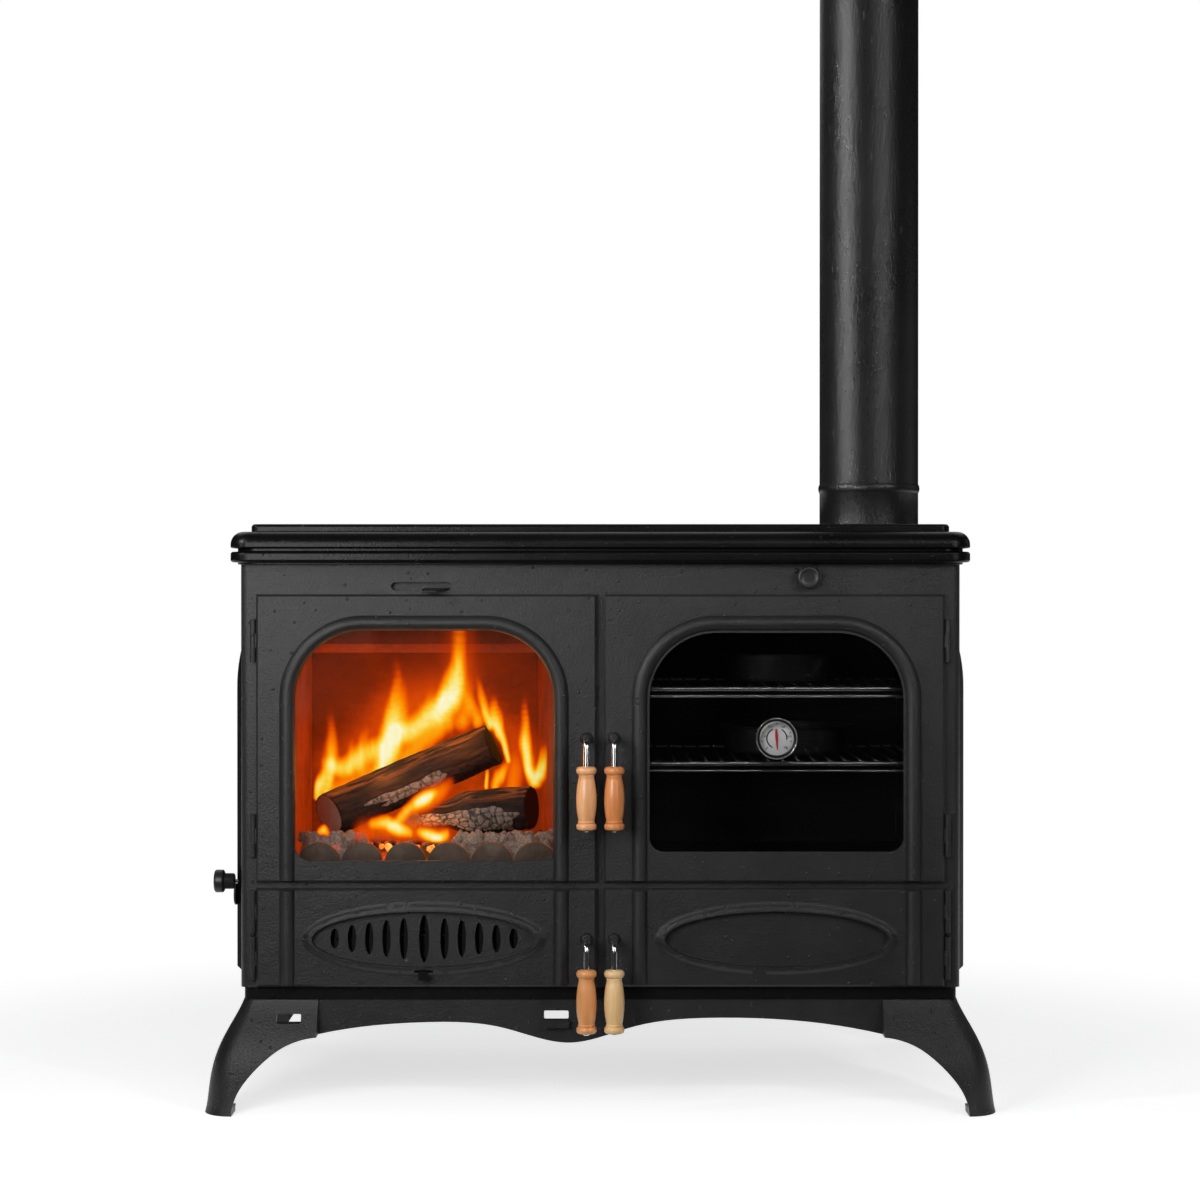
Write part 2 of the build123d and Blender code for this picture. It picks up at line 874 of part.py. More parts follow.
def door_knuckles(door, hinge_heights):
    """Middle knuckles of a door's hinges, on lugs from its edge."""
    third = hinge_length / 3 - sliding_gap
    for z in hinge_heights:
        knuckle_z = (z - third / 2, z + third / 2)
        lug = block((door_outer - 1, hinge_x), (hinge_y - 2, hinge_y + 2), knuckle_z)
        lug += knuckle(knuckle_z)
        door += lug - bar_z(hinge_pin_radius + running_gap, hinge_x, hinge_y, knuckle_z)
    return door


def with_latch_boss(door, latch_z):
    """Domed boss round the latch spindle, and its bore."""
    top = door_face - boss_height
    foot, crown = (boss_radius, door_face), (boss_radius * 0.6, top)
    dome = ThreePointArc(foot, (boss_radius * 0.86, door_face - boss_height * 0.6), crown)
    rest = Polyline(crown, (0, top), (0, door_face + 1), (boss_radius, door_face + 1), foot)
    door += turned_y(make_face([dome, *rest.edges()]), spindle_x, latch_z)
    return door - bar_y(spindle_radius + running_gap, spindle_x, (top - 1, door_back + 1), latch_z)


def make_upper_door(margin, sill):
    door = door_plate(upper_z) + arch_rib(upper_z)
    door -= from_front(window_sketch(upper_z, margin, sill), (door_face - rib_height, door_back + 1))
    door = with_seal_groove(door, upper_z)
    door = door_knuckles(door, upper_hinge_z)
    return with_latch_boss(door, upper_latch_z)


def ellipse_at(length, height, y):
    """Ellipse of a lower door's oval, on a plane that faces the front."""
    plane = Plane(origin=(window_x, y, oval_z), x_dir=(1, 0, 0), z_dir=(0, -1, 0))
    return plane * Ellipse(length / 2, height / 2)


def make_lower_door():
    """Lower door with its columns and its raised, sunk oval."""
    door = door_plate(lower_z)
    for column in column_ribs(lower_z):
        door += column
    foot = ellipse_at(oval_length, oval_height, door_face + 1)
    crown = ellipse_at(oval_rim_length, oval_rim_height, door_face - oval_proud)
    door += loft([foot, crown], ruled=True)
    floor_y = door_face + oval_recess
    field = ellipse_at(oval_field_length, oval_field_height, floor_y)
    door -= extrude(field, amount=oval_proud + oval_recess + 1)
    door = with_seal_groove(door, lower_z)
    door = door_knuckles(door, lower_hinge_z)
    return with_latch_boss(door, lower_latch_z)


def air_slot_places():
    """Offset from the oval's middle, width and height of each air slot."""
    places = [(0, air_slot_middle_width, air_slot_heights[0])]
    for step, height in enumerate(air_slot_heights[1:]):
        offset = air_slot_first_pitch + step * air_slot_pitch
        places += [(offset, air_slot_width, height), (-offset, air_slot_width, height)]
    return places


def air_tab_notch():
    half = air_tab_width / 2 + air_travel / 2 + sliding_gap
    high = air_tab_z + air_tab_thickness + sliding_gap
    return block(
        (-window_x - half, -window_x + half),
        (door_face - oval_proud - 1, door_back + 1),
        (air_tab_z - sliding_gap, high),
    )


def air_plate_half():
    """Half length and half height of the air slide."""
    places = air_slot_places()
    length = max(offset for offset, _, _ in places) + air_slot_width / 2 + air_plate_margin
    return length, air_slot_heights[0] / 2 + air_plate_margin / 2


def make_ash_door():
    door = to_left(make_lower_door())
    for offset, width, height in air_slot_places():
        slot = Pos(-window_x + offset, oval_z) * Ellipse(width / 2, height / 2)
        door -= from_front(slot, (door_face - oval_proud - 1, door_back + 1))
    half_length, half_height = air_plate_half()
    rail_x = (-window_x - half_length - air_travel, -window_x + half_length + air_travel)
    rail_y = (door_back - 1, door_back + air_plate_thickness + 2 * sliding_gap)
    top = oval_z + half_height + sliding_gap
    bottom = oval_z - half_height - sliding_gap
    gap = air_tab_width / 2 + air_travel
    door += block(rail_x, rail_y, (top, top + rail_height))
    door += block((rail_x[0], -window_x - gap), rail_y, (bottom - rail_height, bottom))
    door += block((-window_x + gap, rail_x[1]), rail_y, (bottom - rail_height, bottom))
    return door - air_tab_notch()


def make_air_slide():
    """Slotted slide behind the ash door, with the tab that is pushed by a finger."""
    half_length, half_height = air_plate_half()
    plate_y = (door_back + sliding_gap, door_back + sliding_gap + air_plate_thickness)
    plate_x = (-window_x - half_length, -window_x + half_length)
    slide = block(plate_x, plate_y, (oval_z - half_height, oval_z + half_height))
    for offset, width, height in air_slot_places():
        slot = Pos(-window_x + offset - air_travel / 2, oval_z) * Rectangle(width, height)
        slide -= from_front(slot, (plate_y[0] - 1, plate_y[1] + 1))
    tip_y = door_face - oval_proud - air_tab_reach
    low, high = air_tab_z, air_tab_z + air_tab_thickness
    profile = polygon(
        [
            (plate_y[1], oval_z - half_height + 1),
            (plate_y[1], low),
            (tip_y + air_tab_thickness, low),
            (tip_y + air_tab_thickness, low - air_tab_drop),
            (tip_y, low - air_tab_drop),
            (tip_y, high),
            (plate_y[0], high),
            (plate_y[0], oval_z - half_height + 1),
        ]
    )
    return slide + from_side(profile, (-window_x - air_tab_width / 2, -window_x + air_tab_width / 2))


# Hinges


def hinge_places():
    """Side and height of each hinge."""
    return [(side, z) for side in (-1, 1) for z in (*lower_hinge_z, *upper_hinge_z)]


def knuckle(z):
    """Knuckle of a hinge, before its bore."""
    return from_top(Pos(hinge_x, hinge_y) * RegularPolygon(hinge_radius, knuckle_sides), z)


def make_hinge_leaves():
    """Frame halves of the hinges: a leaf with a knuckle at each end and the pin between them."""
    leaves = []
    third = hinge_length / 3
    for side, z in hinge_places():
        bottom, top = z - hinge_length / 2, z + hinge_length / 2
        leaf_x = (hinge_x + hinge_radius + sliding_gap, half_width - corner_radius)
        leaf = block(leaf_x, (front - hinge_leaf, front), (bottom, top))
        for low in (bottom, top - third):
            leaf += knuckle((low, low + third))
            leaf += block((hinge_x, leaf_x[0] + 1), (front - hinge_leaf, front), (low, low + third))
        leaf += bar_z(hinge_pin_radius, hinge_x, hinge_y, (bottom + third - 1, top - third + 1))
        leaves.append(leaf if side > 0 else to_left(leaf))
    return leaves


# Latches


def shank_section():
    """Section of a latch's rod in front of the door."""
    return RegularPolygon(spindle_radius, shank_sides)


def make_latch(z):
    """Bent rod of a right-hand latch, with its cam behind the door and its nut under the grip."""
    shank_y = door_face - handle_standoff
    rod_end = front + cam_thickness
    bend_start = door_face - boss_height - sliding_gap
    bottom = z - grip_drop - grip_length
    path = FilletPolyline(
        (spindle_x, bend_start, z), (spindle_x, shank_y, z), (spindle_x, shank_y, bottom), radius=handle_bend
    )
    plane = Plane(origin=(spindle_x, bend_start, z), x_dir=(1, 0, 0), z_dir=(0, -1, 0))
    latch = sweep(plane * shank_section(), path=path)
    latch += bar_y(spindle_radius, spindle_x, (bend_start, rod_end), z)
    keeper = spindle_x - (opening_x[0] - mullion_notch)
    lobe_x = spindle_x - (keeper - bearing_gap - cam_lobe_radius)
    cam = (Pos(spindle_x, z) * Circle(cam_radius)) + (Pos(lobe_x, z) * Circle(cam_lobe_radius))
    latch += from_front(cam, (front, rod_end))
    return latch + bar_z(nut_radius, spindle_x, shank_y, (bottom - nut_height, bottom))


def grip_stations():
    """Radius of a grip at each height above its middle, from its foot to its top."""
    top = grip_length / 2
    bead_end = top - grip_bead
    half = [
        (grip_radius, 0),
        (grip_neck, bead_end),
        (grip_radius, top - grip_bead * 0.7),
        (grip_radius, top - grip_bead * 0.3),
        (grip_neck * 0.75, top),
    ]
    return [(radius, -height) for radius, height in reversed(half[1:])] + half


def make_grip(z):
    """Grip on the shank of a right-hand latch, with a bead at each end."""
    middle = z - grip_drop - grip_length / 2
    centre = Pos(spindle_x, door_face - handle_standoff, middle)
    sections = [
        centre * Pos(0, 0, height) * RegularPolygon(radius, grip_sides) for radius, height in grip_stations()
    ]
    bore = centre * extrude(shank_section(), amount=grip_length, both=True)
    return loft(sections, ruled=True) - bore


# Thermometer


def make_gauge_case():
    """Dished case with a bright rim, and the stem that holds it in the pane."""
    face, floor = door_back - gauge_depth, door_back - gauge_depth / 2
    profile = polygon(
        [
            (0, door_back),
            (gauge_radius - 2, door_back),
            (gauge_radius, door_back - gauge_depth + 2),
            (gauge_radius - 1.5, face),
            (gauge_radius - gauge_rim, face),
            (gauge_radius - gauge_rim, floor),
            (0, floor),
        ]
    )
    case = turned_y(profile, window_x, gauge_z)
    return case + bar_y(gauge_stem_radius, window_x, (door_back - 1, door_back + gauge_stem_length), gauge_z)


def make_gauge_dial():
    floor = door_back - gauge_depth / 2
    return bar_y(gauge_radius - gauge_rim, window_x, (floor - 1, floor), gauge_z)


def make_gauge_lens():
    face = door_back - gauge_depth
    return bar_y(gauge_radius - gauge_rim, window_x, (face + 0.5, face + 1.5), gauge_z)


def make_gauge_needle():
    dial_face = door_back - gauge_depth / 2 - 1
    needle_y = (dial_face - 1.6, dial_face - 0.6)
    half, blunt = needle_width / 2, needle_tail_width / 2
    tail = [(-half, needle_widest), (-blunt, needle_tail), (blunt, needle_tail), (half, needle_widest)]
    blade = polygon([*tail, (needle_tip, -needle_length), (-needle_tip, -needle_length)])
    needle = from_front(Pos(window_x, gauge_z) * blade, needle_y)
    needle += bar_y(half * 1.3, window_x, needle_y, gauge_z)
    return needle + bar_y(0.6, window_x, (needle_y[1] - 0.1, dial_face - sliding_gap / 3), gauge_z)


# Controls


def make_airwash_slide():
    """Plate behind the frieze slot, with a tapering tab through the slot."""
    plate_y = (frame_back + sliding_gap, frame_back + sliding_gap + airwash_plate_thickness)
    half = airwash_plate_height / 2
    right = airwash_x + airwash_length / 2
    tab_right = right - airwash_height / 2 + 1
    plate = block(
        (airwash_x - airwash_plate_length / 2, airwash_x + airwash_plate_length / 2),
        plate_y,
        (airwash_z - half, airwash_z + half),
    )
    root, tip = frame_back, front - airwash_tab_reach
    tab_left = tab_right - airwash_tab_root
    plan = polygon(
        [
            (tab_left, root + 1),
            (tab_right, root + 1),
            (tab_right, front - 2),
            (tab_left + airwash_tab_tip, tip),
            (tab_left, tip),
        ]
    )
    low = airwash_z - airwash_height / 2 + sliding_gap
    high = low + airwash_tab_thickness
    underside = [(root + 1, low), (front - 2, low), (tip, low - airwash_tab_thickness)]
    side = polygon([*underside, (tip, low), (front - 2, high), (root + 1, high)])
    beyond = airwash_height
    tab = from_top(plan, (airwash_z - beyond, airwash_z + beyond))
    return plate + (tab & from_side(side, (tab_left - 1, tab_right + 1)))


def make_damper_knob():
    """Dished knob on the long rod of the bypass damper."""
    face = front - damper_knob_gap - damper_knob_length
    rear = front - damper_knob_gap
    profile = polygon(
        [
            (0, rear),
            (damper_knob_radius - 4, rear),
            (damper_knob_radius, rear - 4),
            (damper_knob_radius, face + 2),
            (damper_knob_radius - 1.5, face),
            (damper_dish_radius, face),
            (damper_dish_radius - 1, face + 2),
            (0, face + 2),
        ]
    )
    rod_y = (rear - 1, back - wall - sheet - bearing_gap)
    return turned_y(profile, damper_x, damper_z) + bar_y(damper_rod_radius, damper_x, rod_y, damper_z)


def make_damper_plate():
    """Flap of the bypass damper on its sleeve."""
    flap_y = (front + damper_flap_start, front + damper_flap_start + damper_flap_length)
    half = damper_flap_height / 2
    flap = block(
        (damper_x - damper_flap_thickness / 2, damper_x + damper_flap_thickness / 2),
        flap_y,
        (damper_z - half, damper_z + half),
    )
    flap += bar_y(damper_rod_radius + damper_sleeve, damper_x, flap_y, damper_z)
    return flap - bar_y(damper_rod_radius, damper_x, (flap_y[0] - 1, flap_y[1] + 1), damper_z)


def make_shaker_rod():
    rod_x = (-half_width - shaker_reach + shaker_disc_length, grate_x[0])
    return bar_x(shaker_rod_radius, rod_x, front + shaker_y, shaker_z) + shaker_link()


def shaker_link():
    """Bent foot of the rod that reaches back to the grate."""
    return block(
        (grate_x[0] - shaker_link_width, grate_x[0]),
        (front + shaker_y - shaker_rod_radius, front + grate_y[0] + shaker_link_lap),
        (shaker_z - shaker_rod_radius, shaker_z + shaker_rod_radius),
    )


def make_shaker_knob():
    """Knob of the shaker: a disc on a narrower hub."""
    outer = -half_width - shaker_reach
    step = outer + shaker_disc_length
    inner = step + shaker_hub_length
    y = front + shaker_y
    disc = bar_x(shaker_disc_radius, (outer, step), y, shaker_z)
    disc = chamfer(disc.edges().filter_by(GeomType.CIRCLE), shaker_disc_edge)
    knob = disc + bar_x(shaker_hub_radius, (step, inner), y, shaker_z)
    return knob - bar_x(shaker_rod_radius, (step, inner + 1), y, shaker_z)


def make_shaker_plate():
    """Small round cover under the shaker rod."""
    face = -half_width - field_proud
    z = shaker_z - shaker_rod_radius - 2 * sliding_gap - shaker_plate_radius
    return bar_x(shaker_plate_radius, (face - shaker_plate_thickness, face), front + shaker_y, z)


# Firebox


def grate_well():
    """Limits of the well in the deck that the grate slides in."""
    left = grate_x[0] - shaker_travel - bearing_gap
    return (left, grate_x[1] + bearing_gap), (
        front + grate_y[0] - bearing_gap,
        front + grate_y[1] + bearing_gap,
    )


def make_deck_plate():
    """Floor of firebox and oven, with the stepped well of the grate."""
    deck = block((-inner_x, inner_x), (frame_back, back - wall), (deck_z, deck_top))
    well_x, well_y = grate_well()
    bottom = deck_z - deck_well_depth
    walls = block(
        (well_x[0] - wall, well_x[1] + wall), (well_y[0] - wall, well_y[1] + wall), (bottom, deck_z + 1)
    )
    deck += walls
    floor = grate_floor()
    deck -= block(well_x, well_y, (floor, deck_top + 1))
    ledge_x = (well_x[0] + deck_ledge, well_x[1] - deck_ledge)
    deck -= block(ledge_x, (well_y[0] + deck_ledge, well_y[1] - deck_ledge), (bottom - 1, floor + 1))
    link_way = block(
        (well_x[0] - shaker_link_width, grate_x[0] + bearing_gap),
        (well_y[0] - wall - 1, well_y[0] + shaker_link_lap + 2 * bearing_gap),
        (shaker_z - shaker_rod_radius - bearing_gap, deck_z),
    )
    return deck - link_way


def grate_floor():
    return shaker_z - grate_thickness / 2


def make_shaker_grate():
    """Grate with a row of bars."""
    floor = grate_floor()
    grate = block(grate_x, (front + grate_y[0], front + grate_y[1]), (floor, floor + grate_thickness))
    (cx, lx), (cy, ly) = span(grate_x, grate_border), span(grate_y)
    slots = Pos(cx, front + cy) * GridLocations(lx, ly / (grate_bars + 1), 1, grate_bars)
    for place in slots:
        grate -= from_top(place * Rectangle(lx, grate_slot_width), (floor - 1, floor + grate_thickness + 1))
    return grate


def make_back_liner():
    y = (front + firebox_back, front + firebox_back + liner_thickness)
    return block((firebox_left, firebox_right_back), y, (deck_top, liner_top))


def make_side_liners():
    """Left liner is straight, the right one draws in towards the back."""
    start, end = front + firebox_front, front + firebox_back
    left = block((firebox_left - liner_thickness, firebox_left), (start, end), (deck_top, liner_top))
    right = polygon(
        [
            (firebox_right_front, start),
            (firebox_right_front + liner_thickness, start),
            (firebox_right_back + liner_thickness, end),
            (firebox_right_back, end),
        ]
    )
    return [left, from_top(right, (deck_top, liner_top))]


def make_baffle_plate():
    x = (firebox_left - liner_thickness, firebox_right_back + liner_thickness)
    y = (front + baffle_start, front + firebox_back + liner_thickness)
    return block(x, y, (liner_top, liner_top + baffle_thickness))


def make_fire_fence():
    """Row of round scallops that stands behind the glass."""
    ends = (firebox_left + fence_gap_left, firebox_right_front - fence_gap_right)
    middle, length = span(ends)
    centre_z = deck_top + fence_centre_height
    outline = Pos(middle, deck_top + fence_bar / 2) * Rectangle(length, fence_bar)
    for place in GridLocations(length / fence_count, 0, fence_count, 1):
        outline += Pos(middle, centre_z) * place * Circle(fence_disc_radius)
    outline -= Pos(middle, deck_top - length / 2) * Rectangle(2 * length, length)
    return from_front(outline, (front + fence_y, front + fence_y + fence_thickness))


def make_ash_pan():
    """Open drawer under the grate, with a pull at its front."""
    x = (-opening_x[1] + pan_margin, -opening_x[0] - pan_margin)
    y = (body_front, body_front + pan_depth)
    z = (runner_top(), runner_top() + pan_height)
    pan = block(x, y, z)
    pan -= block((x[0] + sheet, x[1] - sheet), (y[0] + sheet, y[1] - sheet), (z[0] + sheet, z[1] + 1))
    middle = (x[0] + x[1]) / 2
    pull_x = (middle - pan_pull_width / 2, middle + pan_pull_width / 2)
    pull_z = z[0] + pan_height * 0.6
    return pan + block(pull_x, (y[0] - pan_pull_reach, y[0] + 1), (pull_z, pull_z + sheet))


# Oven and storage


def oven_limits():
    """Inside of the oven."""
    x = (opening_x[0] - oven_margin, opening_x[1] + oven_margin)
    return x, (frame_back, frame_back + oven_depth), (deck_top + sheet, upper_opening[1] + oven_margin)


def make_oven_box():
    """Open-fronted oven with a ledge for each side of each rack."""
    x, y, z = oven_limits()
    oven = block((x[0] - sheet, x[1] + sheet), (y[0], y[1] + sheet), (z[0] - sheet, z[1] + sheet))
    oven -= block(x, (y[0] - 1, y[1]), z)
    for height in rack_heights:
        under = height - rack_rod
        for ledge_x in ((x[0] - 1, x[0] + oven_ledge), (x[1] - oven_ledge, x[1] + 1)):
            oven += block(ledge_x, (y[0] + flange_depth, y[1]), (under - sheet, under))
    return oven


def make_rack(height):
    """Rack: a round-cornered frame, wires from front to back and a second bar at the front."""
    x, y, _ = oven_limits()
    rod, wire = 2 * rack_rod, 2 * rack_wire
    left, right = x[0] + rack_gap, x[1] - rack_gap
    near, far = y[0] + flange_depth, y[1] - rack_gap
    (cx, lx), (cy, ly) = span((left, right)), span((near, far))
    hole = RectangleRounded(lx - 2 * rod, ly - 2 * rod, rack_corner - rod)
    ring = Pos(cx, cy) * (RectangleRounded(lx, ly, rack_corner) - hole)
    bottom, top = height - rack_rod, height + rack_rod
    rack = from_top(ring, (bottom, top))
    wire_z = (top - rack_wire, top + rack_wire)
    for place in GridLocations(lx / (rack_wires + 1), 0, rack_wires, 1):
        wire_x = cx + place.position.X
        rack += block((wire_x - rack_wire, wire_x + rack_wire), (near + 1, far - 1), wire_z)
    low = height - rack_front_drop
    end_left, end_right = left + oven_ledge + rod, right - oven_ledge - rod
    rack += block((end_left, end_right), (near, near + wire), (low - rack_wire, low + rack_wire))
    for post in (end_left, end_right - wire):
        rack += block((post, post + wire), (near, near + wire), (low, bottom + 1))
    return rack


def make_storage_box():
    """Open-fronted lining of the lower right compartment."""
    x = (opening_x[0] - oven_margin, opening_x[1] + oven_margin)
    y = (body_front, body_front + storage_depth)
    z = (panel_bottom, deck_z - sheet)
    box = block((x[0] - sheet, x[1] + sheet), (y[0], y[1] + sheet), z)
    return box - block(x, (y[0] - 1, y[1]), (z[0] + sheet, z[1] - sheet))


# The whole stove

fire_window = (upper_z, fire_window_margin, fire_window_sill)
oven_window = (upper_z, oven_window_margin, oven_window_sill)
front_leg = make_leg()
gauge_bore = bar_y(gauge_stem_radius, window_x, (door_back - 1, door_back + glass_thickness + 1), gauge_z)

pieces = {
    "front_frame": make_front_frame(),
    "back_panel": make_back_panel(),
    "left_side": make_left_side(),
    "right_side": make_right_side(),
    "base_plate": make_base_plate(),
    "leg_front_left": make_slotted_leg(),
    "leg_front_right": front_leg,
    "leg_rear_left": to_back(to_left(front_leg)),
    "leg_rear_right": to_back(front_leg),
    "front_apron": make_front_apron(),
    "top_frame": make_top_frame(),
    "cooktop_frame": make_cooktop_frame(),
    "hob_plate": make_hob_plate(),
    "hob_lid": make_hob_lid(),
    "flue_collar": make_flue_collar(),
    "flue_pipe": make_flue_pipe(),
    "hinge_leaves": make_hinge_leaves(),
    "shaker_plate": make_shaker_plate(),
    "shaker_rod": make_shaker_rod(),
    "shaker_knob": make_shaker_knob(),
    "shaker_grate": make_shaker_grate(),
    "deck_plate": make_deck_plate(),
    "fire_back_liner": make_back_liner(),
    "fire_side_liners": make_side_liners(),
    "baffle_plate": make_baffle_plate(),
    "fire_fence": make_fire_fence(),
    "ash_pan": make_ash_pan(),
    "oven_box": make_oven_box(),
    "lower_oven_rack": make_rack(rack_heights[0]),
    "upper_oven_rack": make_rack(rack_heights[1]),
    "storage_box": make_storage_box(),
    "airwash_slide": make_airwash_slide(),
    "damper_knob": make_damper_knob(),
    "damper_plate": make_damper_plate(),
    "fire_door": to_left(make_upper_door(*fire_window[1:])),
    "fire_door_glass": to_left(make_glass(*fire_window)),
    "fire_door_seal": to_left(make_seal(upper_z)),
    "fire_door_clips": [to_left(clip) for clip in make_clips(*fire_window)],
    "oven_door": make_upper_door(*oven_window[1:]),
    "oven_door_glass": make_glass(*oven_window) - gauge_bore,
    "oven_door_seal": make_seal(upper_z),
    "oven_door_clips": make_clips(*oven_window),
    "thermometer_case": make_gauge_case(),
    "thermometer_dial": make_gauge_dial(),
    "thermometer_lens": make_gauge_lens(),
    "thermometer_needle": make_gauge_needle(),
    "ash_door": make_ash_door(),
    "ash_door_seal": to_left(make_seal(lower_z)),
    "air_slide": make_air_slide(),
    "store_door": make_lower_door(),
    "store_door_seal": make_seal(lower_z),
    "fire_latch": to_left(make_latch(upper_latch_z)),
    "fire_grip": to_left(make_grip(upper_latch_z)),
    "oven_latch": make_latch(upper_latch_z),
    "oven_grip": make_grip(upper_latch_z),
    "ash_latch": to_left(make_latch(lower_latch_z)),
    "ash_grip": to_left(make_grip(lower_latch_z)),
    "store_latch": make_latch(lower_latch_z),
    "store_grip": make_grip(lower_latch_z),
}


def solids_of(piece):
    """Every solid of a piece or of a group of pieces."""
    group = piece if isinstance(piece, list) else [piece]
    return [solid for member in group for solid in member.solids()]


os.makedirs("parts", exist_ok=True)
for name, piece in pieces.items():
    export_step(Compound(children=solids_of(piece)), f"parts/{name}.step")
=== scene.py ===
"""Cast iron cookstove: castings, wood grips, controls, oven, fire and studio, in metres."""

import json
import logging
import math
from dataclasses import dataclass
from enum import Enum
from functools import cache
from typing import Callable, Iterable, Sequence

import bmesh
import bpy
from mathutils import Matrix, Quaternion, Vector, noise
from mathutils.bvhtree import BVHTree


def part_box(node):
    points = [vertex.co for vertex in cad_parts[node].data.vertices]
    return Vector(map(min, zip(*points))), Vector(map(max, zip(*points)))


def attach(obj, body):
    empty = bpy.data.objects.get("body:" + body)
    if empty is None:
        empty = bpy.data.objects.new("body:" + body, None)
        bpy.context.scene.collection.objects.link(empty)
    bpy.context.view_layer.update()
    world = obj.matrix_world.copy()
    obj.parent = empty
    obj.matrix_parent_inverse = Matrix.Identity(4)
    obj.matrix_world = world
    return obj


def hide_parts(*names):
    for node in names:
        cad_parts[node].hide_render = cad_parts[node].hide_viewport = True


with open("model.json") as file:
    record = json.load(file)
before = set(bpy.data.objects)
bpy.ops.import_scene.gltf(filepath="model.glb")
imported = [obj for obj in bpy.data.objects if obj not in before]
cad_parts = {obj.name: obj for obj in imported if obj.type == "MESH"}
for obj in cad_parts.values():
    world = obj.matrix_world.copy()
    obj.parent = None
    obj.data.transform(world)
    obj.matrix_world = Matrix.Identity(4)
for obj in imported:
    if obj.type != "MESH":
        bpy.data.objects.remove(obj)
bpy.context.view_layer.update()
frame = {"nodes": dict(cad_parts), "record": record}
log = logging.getLogger("cookstove")

Colour = tuple[float, float, float]
Point = tuple[float, float, float]
Span = tuple[float, float]
Spine = tuple[tuple[float, float, float, float], ...]
Material = bpy.types.Material
Mesh = bpy.types.Mesh
Piece = bpy.types.Object
Shape = bmesh.types.BMesh
Vertex = bmesh.types.BMVert
Socket = bpy.types.NodeSocket

CAMERA_DISTANCE = 3.5  # in front of the doors
CAMERA_HEIGHT = 0.733
METRES_PER_PIXEL = 0.0014  # at the face of the doors
PHOTO_SIZE = 1200
PHOTO_MIDDLE = 600.35  # column of the gap between the doors
HORIZON_ROW = 588
FOCAL_LENGTH = 75
SENSOR = 36
PANE_SETBACK = 0.008  # of the fire door's glass behind the faces of the doors
BLACK = (0, 0, 0)
WHITE = (1, 1, 1)
UP = Vector((0, 0, 1))
INWARD = Vector((0, 1, 0))


# Shader language


def math_step(operation: str, text: str, reflected: bool = False) -> Callable[..., "Term"]:
    """Method of Term that adds one Math node.

    Args:
        operation: what the node does.
        text: the method's docstring.
        reflected: the other value stands on the left.

    Returns:
        The method.
    """

    def method(self: "Term", other: object = 0.0) -> "Term":
        pair = (other, self) if reflected else (self, other)
        return self.graph.node("ShaderNodeMath", {"operation": operation}, dict(enumerate(pair)))

    method.__doc__ = text
    return method


class Term:
    """A shader value that takes part in Python expressions."""

    __add__ = math_step("ADD", "Sum.")
    __radd__ = math_step("ADD", "Sum with a number on the left.", True)
    __sub__ = math_step("SUBTRACT", "Difference.")
    __rsub__ = math_step("SUBTRACT", "Difference from a number on the left.", True)
    __mul__ = math_step("MULTIPLY", "Product.")
    __truediv__ = math_step("DIVIDE", "Quotient.")
    __gt__ = math_step("GREATER_THAN", "1 where this value is the larger one, else 0.")
    maximum = math_step("MAXIMUM", "The larger of two values.")
    absolute = math_step("ABSOLUTE", "Size without its sign.")
    sine = math_step("SINE", "Sine of an angle in radians.")

    def __init__(self, graph: "Graph", socket: Socket) -> None:
        """Wraps an output socket of a graph."""
        self.graph = graph
        self.socket = socket

    def between(self, low: float, high: float) -> "Term":
        """Smooth rise from 0 at low to 1 at high."""
        settings = {"interpolation_type": "SMOOTHSTEP"}
        return self.graph.node("ShaderNodeMapRange", settings, {0: self, 1: low, 2: high})


def scaled(values: Sequence[float], factor: float) -> Colour:
    """Colour or place times a factor."""
    return tuple(value * factor for value in values)


